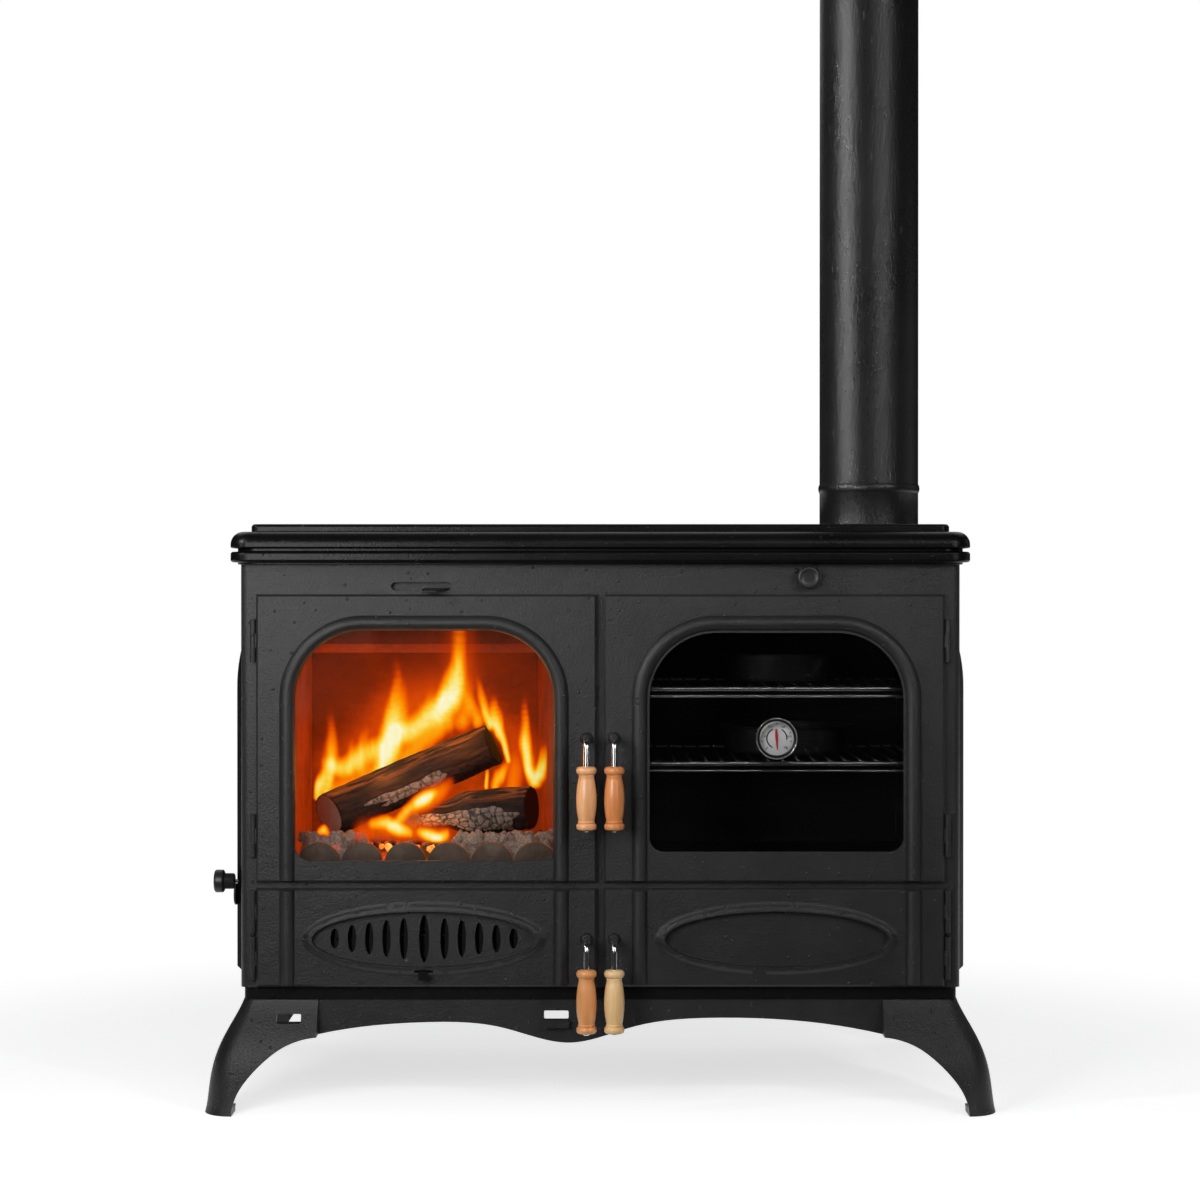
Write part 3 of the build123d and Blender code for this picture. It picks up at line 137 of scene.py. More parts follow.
class Graph:
    """Node tree of a material or a world."""

    def __init__(self, owner: bpy.types.ID) -> None:
        """Empties the owner's tree."""
        owner.use_nodes = True
        self.tree = owner.node_tree
        self.tree.nodes.clear()

    def node(
        self, kind: str, settings: dict[str, object], sockets: dict[object, object], output: object = 0,
    ) -> Term:
        """Adds a node.

        Args:
            kind: the node's type.
            settings: properties, set before any socket.
            sockets: values or terms for its inputs, by name or number.
            output: name or number of the output that is returned.

        Returns:
            The output as a term.
        """
        made = self.tree.nodes.new(kind)
        for name, value in settings.items():
            setattr(made, name, value)
        for key, value in sockets.items():
            if isinstance(value, Term):
                self.tree.links.new(value.socket, made.inputs[key])
            else:
                made.inputs[key].default_value = value
        return Term(self, made.outputs[output])

    def place(self, scale: Point = (1, 1, 1), turn: Point = (0, 0, 0), shift: Point = (0, 0, 0)) -> Term:
        """Object coordinates through a Mapping node."""
        sockets = {
            "Vector": self.node("ShaderNodeTexCoord", {}, {}, "Object"),
            "Location": shift, "Rotation": turn, "Scale": scale,
        }
        return self.node("ShaderNodeMapping", {}, sockets)

    def axis(self, name: str, vector: Term | None = None) -> Term:
        """One coordinate of a place."""
        return self.node("ShaderNodeSeparateXYZ", {}, {0: vector or self.place()}, name)

    def length(self, vector: Term) -> Term:
        """Length of a vector."""
        return self.node("ShaderNodeVectorMath", {"operation": "LENGTH"}, {0: vector}, "Value")

    def away_from(self, middle: Point, reach: float) -> Term:
        """Distance from a place, as a share of a reach."""
        return self.length(self.place(shift=scaled(middle, -1))) / reach

    def noise(
        self, place: Term, scale: float, detail: float = 3, rough: float = 0.55, bend: float = 0,
    ) -> Term:
        """Noise from 0 to 1."""
        sockets = {"Vector": place, "Scale": scale, "Detail": detail, "Roughness": rough, "Distortion": bend}
        return self.node("ShaderNodeTexNoise", {}, sockets)

    def cells(self, place: Term, scale: float, feature: str = "F1", output: str = "Distance") -> Term:
        """Voronoi pattern."""
        sockets = {"Vector": place, "Scale": scale}
        return self.node("ShaderNodeTexVoronoi", {"feature": feature}, sockets, output)

    def specks(self, place: Term, scale: float, edge: Span, channel: str, least: float) -> Term:
        """Spots in the middles of those cells whose colour has more than the least of a channel."""
        spots = 1 - self.cells(place, scale).between(*edge)
        return spots * (self.axis(channel, self.cells(place, scale, output="Color")) > least)

    def attribute(self, name: str) -> Term:
        """A value that the mesh carries."""
        return self.node("ShaderNodeAttribute", {"attribute_name": name}, {}, "Fac")

    def seen_directly(self) -> Term:
        """1 for what the camera sees, also in a reflection or through glass, else 0."""
        camera, glossy, through = (
            self.node("ShaderNodeLightPath", {}, {}, f"Is {kind} Ray")
            for kind in ("Camera", "Glossy", "Transmission")
        )
        return camera.maximum(glossy).maximum(through)

    def ramp(self, value: Term, stops: Sequence[tuple[float, Colour]]) -> Term:
        """Colour ramp over a value."""
        made = self.node("ShaderNodeValToRGB", {}, {0: value})
        elements = made.socket.node.color_ramp.elements
        while len(elements) < len(stops):
            elements.new(1.0)
        for element, (position, colour) in zip(elements, stops):
            element.position = position
            element.color = (*colour, 1)
        return made

    def blend(self, factor: object, *pair: object) -> Term:
        """Mix of two colours."""
        first, second = (colour if isinstance(colour, Term) else (*colour, 1) for colour in pair)
        return self.node("ShaderNodeMix", {"data_type": "RGBA"}, {0: factor, 6: first, 7: second}, 2)

    def bump(self, height: Term, distance: float, strength: float = 1.0) -> Term:
        """Normal that a height gives."""
        return self.node("ShaderNodeBump", {}, {"Height": height, "Distance": distance, "Strength": strength})

    def surface(self, **sockets: object) -> None:
        """Ends the graph in a Principled shader.

        Args:
            sockets: values or terms by socket name, with _ for each space.
        """
        named = {}
        for key, value in sockets.items():
            is_colour = isinstance(value, tuple) and len(value) == 3
            named[key.replace("_", " ")] = (*value, 1) if is_colour else value
        self.end(self.node("ShaderNodeBsdfPrincipled", {}, named))

    def end(self, shader: Term, output: str = "ShaderNodeOutputMaterial") -> None:
        """Links a shader to the owner's output."""
        out = self.tree.nodes.new(output)
        self.tree.links.new(shader.socket, out.inputs["Surface"])


# Finishes


@dataclass(frozen=True)
class Finish:
    """Look of a surface. Each kind draws its own graph."""

    name: str

    def build(self) -> Material:
        """Makes the material."""
        material = bpy.data.materials.new(self.name)
        self.draw(Graph(material))
        return material

    def draw(self, g: Graph) -> None:
        """Draws the graph."""
        raise NotImplementedError


@dataclass(frozen=True)
class Iron(Finish):
    """Stove paint over sand-cast iron, with fine grain and stray pips."""

    name: str = "iron"
    colour: Colour = (0.0175, 0.0176, 0.018)
    roughness: float = 0.4
    grain: float = 0.0006
    pips: float = 0.0018
    streak: float = 1.0
    sheen: float = 0.4

    def draw(self, g: Graph) -> None:
        """Clouded paint with grain, pips and pale scratches."""
        place = g.place(scale=(1, 1, self.streak))
        sand = g.noise(place, 330, 4, 0.65)
        swell = g.noise(place, 26, 4, 0.55)
        pip = g.specks(place, 68, (0.05, 0.17), "X", 0.5)
        scratch = g.specks(g.place(scale=(1, 1, 0.3), turn=(0, 0.8, 0)), 105, (0.04, 0.12), "Y", 0.84)
        grain = g.bump(sand * 1.4 + swell * 1.8, self.grain)
        raised = {"Height": pip + scratch * 0.6, "Distance": self.pips, "Normal": grain}
        cloud = g.noise(g.place(scale=(1, 1, 0.6)), 9, 4, 0.6)
        tone = g.ramp(cloud, [(0.3, scaled(self.colour, 0.82)), (0.7, scaled(self.colour, 1.2))])
        g.surface(
            Base_Color=g.blend((pip + scratch) * 0.55, tone, scaled(self.colour, 5)),
            Roughness=self.roughness + (sand - 0.5) * 0.16 + (cloud - 0.5) * 0.12,
            Normal=g.node("ShaderNodeBump", {}, raised), Specular_IOR_Level=self.sheen,
        )


@dataclass(frozen=True)
class Plated(Finish):
    """Bright plated metal."""

    colour: Colour = (0.82, 0.82, 0.83)
    roughness: float = 0.12

    def draw(self, g: Graph) -> None:
        """Fine lay along the piece under a faint haze."""
        streak = g.noise(g.place(scale=(1, 1, 0.15)), 900, 2)
        haze = g.noise(g.place(), 60, 3)
        g.surface(
            Base_Color=g.blend(haze * 0.3, self.colour, scaled(self.colour, 0.8)),
            Roughness=self.roughness + streak * 0.06 + haze * 0.05, Metallic=1.0,
            Normal=g.bump(streak, 0.00002),
        )


@dataclass(frozen=True)
class Timber(Finish):
    """Turned, oiled wood whose grain runs up the grip."""

    light: Colour
    dark: Colour
    seed: float

    def draw(self, g: Graph) -> None:
        """Long grain with darker figure and fine pores, under a coat of oil."""
        shift = (self.seed, self.seed * 0.37, self.seed * 0.71)
        rings, fibre, figure = (
            g.noise(g.place(scale=(1, 1, stretch), shift=shift), *kind)
            for stretch, kind in (
                (0.06, (130, 4, 0.6, 0.4)), (0.03, (1100, 3, 0.6)), (0.35, (38, 3, 0.5, 0.8)),
            )
        )
        tone = g.blend((rings * 0.65 + figure * 0.35).between(0.36, 0.66), self.dark, self.light)
        g.surface(
            Base_Color=g.blend((fibre > 0.66) * 0.2, tone, scaled(self.dark, 0.55)),
            Roughness=0.34 + fibre * 0.1,
            Normal=g.bump(fibre + rings * 0.5, 0.00006), Coat_Weight=0.45, Coat_Roughness=0.16,
        )


class WoodTone(Enum):
    """The four grips, each of its own piece of wood."""

    FIRE = Timber("wood_fire_grip", (0.94, 0.5, 0.24), (0.77, 0.36, 0.145), 1.7)
    OVEN = Timber("wood_oven_grip", (0.8, 0.31, 0.1), (0.62, 0.2, 0.053), 4.2)
    ASH = Timber("wood_ash_grip", (0.95, 0.45, 0.175), (0.8, 0.32, 0.105), 7.9)
    STORE = Timber("wood_store_grip", (0.97, 0.68, 0.36), (0.88, 0.53, 0.22), 11.3)


@dataclass(frozen=True)
class StoveGlass(Finish):
    """Clear ceramic glass with a trace of soot towards its edges."""

    centre: Point
    half: Span
    haze: float
    soot: float
    shine: float

    def draw(self, g: Graph) -> None:
        """Thin film that thickens towards the edges."""
        across = (g.axis("X") - self.centre[0]).absolute() / self.half[0]
        up = (g.axis("Z") - self.centre[2]).absolute() / self.half[1]
        cloud = g.noise(g.place(), 30, 4)
        alpha = self.haze + across.maximum(up).between(0.72, 1.02) * cloud * self.soot
        g.surface(
            Base_Color=(0.002, 0.002, 0.002), Roughness=0.04 + cloud * 0.02, Alpha=alpha,
            Specular_IOR_Level=self.shine,
        )


@dataclass(frozen=True)
class Lens(Finish):
    """Clear glass of the thermometer."""

    name: str = "thermometer_glass"

    def draw(self, g: Graph) -> None:
        """Nearly clear, with smears."""
        smear = g.noise(g.place(), 220, 3)
        g.surface(
            Base_Color=(0.1, 0.105, 0.105), Roughness=0.03 + smear * 0.03, Alpha=0.02 + smear * 0.02,
            Specular_IOR_Level=0.08,
        )


@dataclass(frozen=True)
class Rope(Finish):
    """Plaited glass-fibre rope of a door seal."""

    name: str = "seal_rope"
    strands: float = 1400

    def draw(self, g: Graph) -> None:
        """Crossing strands with a fuzz of fibres."""
        strand = ((g.axis("X") + g.axis("Z") + g.axis("Y")) * self.strands).sine() * 0.5 + 0.5
        cross = ((g.axis("X") - g.axis("Z")) * self.strands).sine() * 0.5 + 0.5
        weave = strand * 0.6 + cross * 0.4
        fuzz = g.noise(g.place(), 2200, 2)
        tone = g.blend(weave, (0.1, 0.095, 0.085), (0.36, 0.34, 0.31))
        g.surface(Base_Color=tone, Roughness=0.85 + fuzz * 0.1, Normal=g.bump(weave + fuzz * 0.3, 0.0008))


@dataclass(frozen=True)
class Enamel(Finish):
    """Black enamel with small pale flecks."""

    name: str = "oven_enamel"
    colour: Colour = (0.003, 0.003, 0.0032)
    roughness: float = 0.3

    def draw(self, g: Graph) -> None:
        """Flecks in a slightly wavy film."""
        fleck = 1 - g.cells(g.place(), 300).between(0.06, 0.12)
        film = g.noise(g.place(), 14, 4)
        tone = g.blend(fleck * 0.1, self.colour, scaled(self.colour, 4))
        g.surface(Base_Color=tone, Roughness=self.roughness + film * 0.15, Normal=g.bump(film, 0.0003, 0.4))


@dataclass(frozen=True)
class SheetSteel(Finish):
    """Rolled steel with a fine lay and a blue-black scale."""

    name: str = "sheet_steel"
    colour: Colour = (0.1, 0.1, 0.105)

    def draw(self, g: Graph) -> None:
        """Lay across the sheet, and stains."""
        lay = g.noise(g.place(scale=(0.05, 1, 1)), 700, 3)
        stain = g.noise(g.place(), 12, 5, 0.6)
        tone = g.blend(stain.between(0.4, 0.65), self.colour, scaled(self.colour, 0.45))
        g.surface(Base_Color=tone, Metallic=0.85, Roughness=0.34 + stain * 0.2, Normal=g.bump(lay, 0.00004))


@dataclass(frozen=True)
class FirelitBrick(Finish):
    """Firebox lining that glows in the light of the fire."""

    middle: Point
    reach: float
    # Colours of the painted firelight, from near the fire to far from it.
    near_glow: Colour = (0.62, 0.055, 0.001)
    warm: Colour = (0.19, 0.015, 0.001)
    far_glow: Colour = (0.05, 0.008, 0.003)

    def draw(self, g: Graph) -> None:
        """Glow that fades away from the fire, with scars and dark cracks."""
        cloud = g.noise(g.place(), 13, 5, 0.62)
        scar = g.noise(g.place(scale=(1, 1, 1.8)), 70, 4, 0.65)
        level = g.away_from(self.middle, self.reach) + (cloud - 0.5) * 0.6 + (scar - 0.5) * 0.3
        glow = g.ramp(level, [(0.1, self.near_glow), (0.5, self.warm), (0.95, self.far_glow)])
        crackle = g.cells(g.place(scale=(1, 1, 1.3)), 38, "DISTANCE_TO_EDGE").between(0.0, 0.035)
        glow = g.blend((1 - crackle) * (cloud.between(0.5, 0.65)) * 0.45, glow, scaled(self.far_glow, 0.4))
        g.surface(
            Base_Color=g.blend(cloud, (0.03, 0.008, 0.003), (0.07, 0.018, 0.006)), Roughness=0.9,
            Normal=g.bump(scar + cloud, 0.002), Emission_Color=glow, Emission_Strength=1.0,
        )


@dataclass(frozen=True)
class FenceClay(Finish):
    """Brown fired clay of the scalloped fence, sooted at its foot and lit from behind by the fire."""

    face_y: float
    foot: Span = (0.33, 0.36)

    def draw(self, g: Graph) -> None:
        """Clouded clay whose rear half glows."""
        cloud = g.noise(g.place(), 45, 4, 0.6)
        speck = g.noise(g.place(), 500, 3)
        # Darker towards the foot of the fence.
        soot = 1 - g.axis("Z").between(*self.foot)
        tone = g.blend(cloud.between(0.35, 0.7), (0.06, 0.035, 0.022), (0.115, 0.076, 0.05))
        # Emission on the rear half is painted firelight from behind.
        behind = g.axis("Y").between(self.face_y + 0.0025, self.face_y + 0.012)
        g.surface(
            Base_Color=g.blend(soot * 0.5, tone, (0.02, 0.014, 0.01)), Roughness=0.5 + speck * 0.2,
            Normal=g.bump(speck + cloud * 2, 0.0005),
            Emission_Color=g.blend(behind, (0.012, 0.006, 0.003), (0.42, 0.05, 0.004)), Emission_Strength=0.8,
        )


@dataclass(frozen=True)
class CharredWood(Finish):
    """Burning log: lit bark above, cracked grey char, fire below; the mesh says which is where."""

    name: str = "burning_wood"
    bark: Colour = (0.022, 0.008, 0.0035)
    char: Colour = (0.3, 0.235, 0.19)

    def draw(self, g: Graph) -> None:
        """Bark, char and sawn ends, with embers in the cracks."""
        char, heat, lit, crack, cut = map(g.attribute, ("char", "heat", "lit", "crack", "cut"))
        uv = g.node("ShaderNodeUVMap", {"uv_map": "round_log"}, {})
        grain = g.node("ShaderNodeMapping", {}, {"Vector": uv, "Scale": (14, 110, 1)})
        fibre = g.noise(grain, 1, 5, 0.65, 0.6)
        fine = g.noise(g.place(), 260, 5, 0.7)
        patch = g.noise(g.place(), 34, 4, 0.6)
        bark_tone = g.blend(fibre.between(0.35, 0.7), scaled(self.bark, 0.2), scaled(self.bark, 2.0))
        ash_tone = g.blend(fine.between(0.25, 0.65), scaled(self.char, 0.3), self.char)
        charred = (char + (patch - 0.5) * 1.1).between(0.42, 0.55)
        tone = g.blend(crack * 0.95, g.blend(charred, bark_tone, ash_tone), (0.004, 0.002, 0.0015))
        sooted_cut = g.blend(fine, (0.006, 0.0035, 0.002), (0.03, 0.018, 0.01))
        pale_cut = g.blend(fine, (0.16, 0.14, 0.11), (0.5, 0.45, 0.36))
        warm = (heat + (patch - 0.5) * 0.5).between(0.25, 0.95)
        ember = g.ramp(warm, [
            (0.0, BLACK), (0.25, (0.3, 0.008, 0.0)), (0.55, (0.95, 0.035, 0.0)), (0.9, (1.0, 0.2, 0.006)),
        ])
        ember = g.blend((crack * 0.5 + fine * 0.5) * 0.7, ember, g.blend(warm, BLACK, (1.0, 0.3, 0.02)))
        shine = g.blend(lit * fibre.between(0.42, 0.75), BLACK, (0.42, 0.085, 0.012))
        g.surface(
            Base_Color=g.blend(cut, tone, g.blend(char, sooted_cut, pale_cut)), Roughness=0.8 + fine * 0.15,
            Normal=g.bump(fine * 0.5 + fibre * (1 - charred), 0.0016),
            Emission_Color=g.node("ShaderNodeVectorMath", {"operation": "ADD"}, {0: ember, 1: shine}),
            Emission_Strength=1.1,
        )


@dataclass(frozen=True)
class Embers(Finish):
    """Glowing coals, hottest round some places."""

    middles: tuple[tuple[Point, float], ...]
    cover: Colour = (0.2, 0.155, 0.125)

    def draw(self, g: Graph) -> None:
        """Glow round each hot place, under a lumpy cover of ash."""
        heat, *others = (1 - g.away_from(middle, reach) for middle, reach in self.middles)
        for other in others:
            heat = heat.maximum(other)
        lump = g.noise(g.place(), 75, 4, 0.65)
        fine = g.noise(g.place(), 380, 4, 0.65)
        glow = g.ramp(heat + (lump - 0.5) * 0.9, [
            (0.04, BLACK), (0.16, (0.32, 0.008, 0.0)), (0.34, (0.95, 0.05, 0.0)), (0.52, (1.0, 0.24, 0.004)),
            (0.74, (1.0, 0.72, 0.13)),
        ])
        g.surface(
            Base_Color=g.blend(fine.between(0.3, 0.7), scaled(self.cover, 0.25), self.cover), Roughness=0.95,
            Normal=g.bump(lump + fine * 0.6, 0.003), Emission_Color=glow, Emission_Strength=1.25,
        )


@dataclass(frozen=True)
class AshCrust(Finish):
    """Grey-brown crust of ash."""

    name: str = "ash_crust"

    def draw(self, g: Graph) -> None:
        """Lumps of ash with a dull glow in the deepest places."""
        lump = g.noise(g.place(), 60, 5, 0.65)
        fine = g.noise(g.place(), 420, 5, 0.7)
        g.surface(
            Base_Color=g.blend(fine.between(0.3, 0.7), (0.09, 0.065, 0.05), (0.36, 0.29, 0.235)),
            Roughness=0.95,
            Normal=g.bump(lump + fine * 0.7, 0.003),
            Emission_Color=g.blend(lump.between(0.28, 0.36), (0.6, 0.03, 0.0), (0.03, 0.021, 0.016)),
            Emission_Strength=0.8,
        )


@dataclass(frozen=True)
class Flame(Finish):
    """Soft fire: the mesh carries how strong it burns at each place."""

    name: str = "flame"

    def draw(self, g: Graph) -> None:
        """Red edge to white core, thin where the fire is weak."""
        streak = g.noise(g.place(scale=(1, 1, 0.14)), 120, 3, 0.5, 0.3)
        fire = g.attribute("fire") * (0.93 + (streak - 0.5) * 0.3)
        colour = g.ramp(fire, [
            (0.0, (0.6, 0.03, 0.0)), (0.16, (0.95, 0.08, 0.0)), (0.34, (1.0, 0.2, 0.0)),
            (0.5, (1.0, 0.4, 0.004)), (0.66, (1.0, 0.66, 0.05)), (0.82, (1.0, 0.86, 0.28)),
            (0.98, (1.0, 0.98, 0.74)),
        ])
        g.surface(
            Base_Color=BLACK, Roughness=1.0, Specular_IOR_Level=0.0, Alpha=fire.between(-0.02, 0.42) * 0.86,
            Emission_Color=colour, Emission_Strength=1.05,
        )


@dataclass(frozen=True)
class Lacquer(Finish):
    """Thin coloured lacquer or print."""

    colour: Colour
    roughness: float = 0.35

    def draw(self, g: Graph) -> None:
        """Even colour with fine wear."""
        wear = g.noise(g.place(), 900, 3)
        tone = g.blend(wear * 0.35, self.colour, scaled(self.colour, 0.7))
        g.surface(
            Base_Color=tone, Roughness=self.roughness + wear * 0.1, Metallic=0.0,
            Normal=g.bump(wear, 0.00002),
        )


@dataclass(frozen=True)
class DialSilver(Finish):
    """Silvered dial that its rim shades from the upper left."""

    middle: Point
    reach: float = 0.034

    def draw(self, g: Graph) -> None:
        """Grey shades by distance from the bright side."""
        smear = g.noise(g.place(scale=(1, 1, 3)), 500, 3)
        tone = g.ramp(g.away_from(self.middle, self.reach) + (smear - 0.5) * 0.12, [
            (0.3, (0.5, 0.5, 0.5)), (0.6, (0.46, 0.46, 0.455)), (0.78, (0.22, 0.22, 0.215)),
            (0.88, (0.13, 0.13, 0.125)), (0.97, (0.4, 0.4, 0.39)),
        ])
        g.surface(Base_Color=tone, Roughness=0.42 + smear * 0.1, Metallic=0.1, Normal=g.bump(smear, 0.00002))


@dataclass(frozen=True)
class PaleFloor(Finish):
    """White studio floor: it shows white with a soft grey shadow, and throws little light back."""

    name: str = "studio_floor"
    glow: float = 0.66
    edge: Span = (0.8, 1.6)

    def draw(self, g: Graph) -> None:
        """Dark to the lamps, pale to the eye, and plain white far out."""
        grain = g.noise(g.place(), 30, 3)
        shown = g.node("ShaderNodeBsdfPrincipled", {}, {
            "Base Color": (0.8, 0.8, 0.8, 1), "Roughness": 0.9 + grain * 0.1, "Specular IOR Level": 0.0,
            "Emission Color": (*WHITE, 1), "Emission Strength": self.glow,
        })
        dark = {"Base Color": (0.16, 0.16, 0.16, 1), "Roughness": 0.9}
        bounce = g.node("ShaderNodeBsdfPrincipled", {}, dark)
        plain = g.node("ShaderNodeEmission", {}, {"Color": (*WHITE, 1), "Strength": 1.0})
        far = g.length(g.place(scale=(1, 1.1, 0))).between(*self.edge)
        seen = g.seen_directly()
        near = g.node("ShaderNodeMixShader", {}, {0: seen, 1: bounce, 2: shown})
        g.end(g.node("ShaderNodeMixShader", {}, {0: far * seen, 1: near, 2: plain}))


# Shapes


def linked(name: str, data: bpy.types.ID) -> Piece:
    """New object in the scene."""
    piece = bpy.data.objects.new(name, data)
    bpy.context.scene.collection.objects.link(piece)
    return piece


def new_object(name: str, mesh: Mesh, material: Material) -> Piece:
    """New object of a mesh in one material."""
    mesh.name = name
    mesh.materials.clear()
    mesh.materials.append(material)
    return linked(name, mesh)


def final_mesh(piece: Piece) -> Mesh:
    """Plain mesh of a piece, with its modifiers worked in."""
    graph = bpy.context.evaluated_depsgraph_get()
    return bpy.data.meshes.new_from_object(piece.evaluated_get(graph))


def from_bmesh(name: str, shape: Shape, material: Material, sharp: float = 40, recalc: bool = True) -> Piece:
    """Object of a bmesh, with smooth shading.

    Args:
        name: the piece's name.
        shape: its shape, which is freed.
        material: its finish.
        sharp: edges steeper than this angle stay sharp, in degrees.
        recalc: turns the faces outward first.

    Returns:
        The new object.
    """
    if recalc:
        bmesh.ops.recalc_face_normals(shape, faces=shape.faces)
    mesh = bpy.data.meshes.new(name)
    shape.to_mesh(mesh)
    shape.free()
    mesh.shade_smooth()
    mesh.set_sharp_from_angle(angle=math.radians(sharp))
    return new_object(name, mesh, material)


def applied(piece: Piece) -> Piece:
    """Turns a piece's modifiers into plain mesh."""
    mesh = final_mesh(piece)
    piece.modifiers.clear()
    mesh.name = piece.name
    piece.data = mesh
    return piece


def mount(piece: Piece, body: str, nodes: Sequence[str] = ()) -> None:
    """Puts a finished piece on its body.

    Args:
        piece: the finished piece.
        body: the body that it moves with.
        nodes: nodes that it stands for.
        slot: the material slot that it takes its finish from.
    """
    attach(piece, body)
    if nodes:
        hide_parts(*nodes)
    log.info("%s rides on %s, %d faces", piece.name, body, len(piece.data.polygons))


def body_of(node: str) -> str:
    """Name of the body that carries a node."""
    bodies = frame["record"]["behaviour"]["bodies"]
    return next(body for body, members in bodies.items() if node in members)


def extent(node: str) -> tuple[Vector, Point, Vector]:
    """Lowest corner, middle and highest corner of a node."""
    low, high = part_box(node)
    return low, tuple((a + b) / 2 for a, b in zip(low, high)), high


@cache
def door_face() -> float:
    """Plane of the doors' outer faces, from front to back."""
    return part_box("fire_door_glass")[0][1] - PANE_SETBACK


def seen_at(column: float, row: float, depth: float) -> Vector:
    """The place that shows at a pixel of the photograph, so far behind the face of the doors."""
    scale = METRES_PER_PIXEL * (CAMERA_DISTANCE + depth) / CAMERA_DISTANCE
    height = CAMERA_HEIGHT - (row - HORIZON_ROW) * scale
    return Vector(((column - PHOTO_MIDDLE) * scale, door_face() + depth, height))


def merged(node: str) -> Shape:
    """Copy of a node's mesh, with its points joined and its flat faces whole."""
    shape = bmesh.new()
    shape.from_mesh(frame["nodes"][node].data)
    bmesh.ops.remove_doubles(shape, verts=shape.verts, dist=2e-6)
    bmesh.ops.dissolve_limit(shape, angle_limit=math.radians(0.2), verts=shape.verts, edges=shape.edges)
    return shape


def smooth_copy(node: str, material: Material, sharp: float = 30, bevel: float = 0.0) -> None:
    """Mounts a smoothly shaded copy of a node that stands for it.

    Args:
        node: the node.
        material: its finish.
        sharp: edges steeper than this angle stay sharp, in degrees.
        bevel: width of the softened edges.
    """
    piece = from_bmesh(f"skin_{node}", merged(node), material, sharp, False)
    if bevel:
        soften = piece.modifiers.new("soften", "BEVEL")
        soften.width = bevel
        soften.segments = 2
        soften.limit_method = "ANGLE"
        soften.angle_limit = math.radians(sharp)
        soften.harden_normals = True
    piece.modifiers.new("even", "WEIGHTED_NORMAL").keep_sharp = True
    mount(applied(piece), body_of(node), [node])


def band(shape: Shape, first: Sequence[Vertex], second: Sequence[Vertex]) -> None:
    """Joins two rings of equally many vertices by faces."""
    for step in range(len(first)):
        after = (step + 1) % len(first)
        shape.faces.new((first[step], first[after], second[after], second[step]))


def slab(name: str, front: Sequence[Point], rear: Sequence[Point], material: Material, sharp: float) -> Piece:
    """Flat piece between two outlines with equally many points."""
    shape = bmesh.new()
    rings = [[shape.verts.new(spot) for spot in outline] for outline in (front, rear)]
    for ring in rings:
        shape.faces.new(ring)
    band(shape, *rings)
    return from_bmesh(name, shape, material, sharp)


def circle(sides: int) -> list[Span]:
    """Cosine and sine at equal steps round a circle."""
    angles = [2 * math.pi * step / sides for step in range(sides)]
    return [(math.cos(angle), math.sin(angle)) for angle in angles]


def turned(
    name: str, profile: Sequence[Span], material: Material, start: Sequence[float], direction: Vector = UP,
    sides: int = 96, sharp: float = 40,
) -> Piece:
    """Lathe-turned piece.

    Args:
        name: the piece's name.
        profile: radius and distance along the axis, from one end to the other.
        material: its finish.
        start: the zero of the axis.
        direction: way that the axis points.
        sides: facets round the axis.
        sharp: edges steeper than this angle stay sharp, in degrees.

    Returns:
        The new object.
    """
    shape = bmesh.new()
    turn = UP.rotation_difference(direction)
    rings = []
    for radius, along in profile:
        spots = [(radius * c, radius * s, along) for c, s in circle(sides)] if radius else [(0, 0, along)]
        rings.append([shape.verts.new(Vector(start) + turn @ Vector(spot)) for spot in spots])
    for lower, upper in zip(rings, rings[1:]):
        for step in range(sides):
            after = (step + 1) % sides
            ring_steps = ((lower, step), (upper, step), (upper, after), (lower, after))
            corners = list(dict.fromkeys(ring[number % len(ring)] for ring, number in ring_steps))
            if len(corners) > 2:
                shape.faces.new(corners)
    return from_bmesh(name, shape, material, sharp)


def arc(centre: Span, radius: float, start: float, end: float, steps: int = 8) -> list[Span]:
    """Points of an arc in a profile, angles in degrees from the radius axis towards the height axis."""
    angles = [math.radians(start + (end - start) * step / steps) for step in range(steps + 1)]
    return [(centre[0] + radius * math.cos(angle), centre[1] + radius * math.sin(angle)) for angle in angles]


def rounded_path(corners: Sequence[Vector], radius: float, steps: int = 10) -> list[Vector]:
    """Path through corners, each inner corner rounded by an arc."""
    path = [corners[0]]
    for before, corner, after in zip(corners, corners[1:], corners[2:]):
        back, ahead = (before - corner).normalized(), (after - corner).normalized()
        half = back.angle(ahead) / 2
        centre = corner + (back + ahead).normalized() * (radius / math.sin(half))
        first = corner + back * (radius / math.tan(half)) - centre
        last = corner + ahead * (radius / math.tan(half)) - centre
        swing = first.rotation_difference(last)
        path += [centre + Quaternion().slerp(swing, step / steps) @ first for step in range(steps + 1)]
    return path + [corners[-1]]


def tube(shape: Shape, path: Sequence[Vector], radius: float, sides: int = 16, closed: bool = False) -> None:
    """Adds a round rod along a path."""
    count = len(path)
    rings = []
    side = None
    for number, spot in enumerate(path):
        ahead = path[(number + 1) % count] if closed or number + 1 < count else spot
        behind = path[number - 1] if closed or number else spot
        heading = (ahead - behind).normalized()
        side = heading.orthogonal().normalized() if side is None else side
        side = (side - heading * side.dot(heading)).normalized()
        other = heading.cross(side)
        rings.append([shape.verts.new(spot + radius * (c * side + s * other)) for c, s in circle(sides)])
    for first, second in zip(rings, rings[1:] + ([rings[0]] if closed else [])):
        band(shape, first, second)
    for ring in () if closed else (rings[0], rings[-1]):
        shape.faces.new(ring)


def block(shape: Shape, low: Point, high: Point) -> None:
    """Adds a box between two corners."""
    size = Vector(high) - Vector(low)
    middle = (Vector(high) + Vector(low)) / 2
    bmesh.ops.create_cube(shape, size=1, matrix=Matrix.Translation(middle) @ Matrix.Diagonal((*size, 1)))


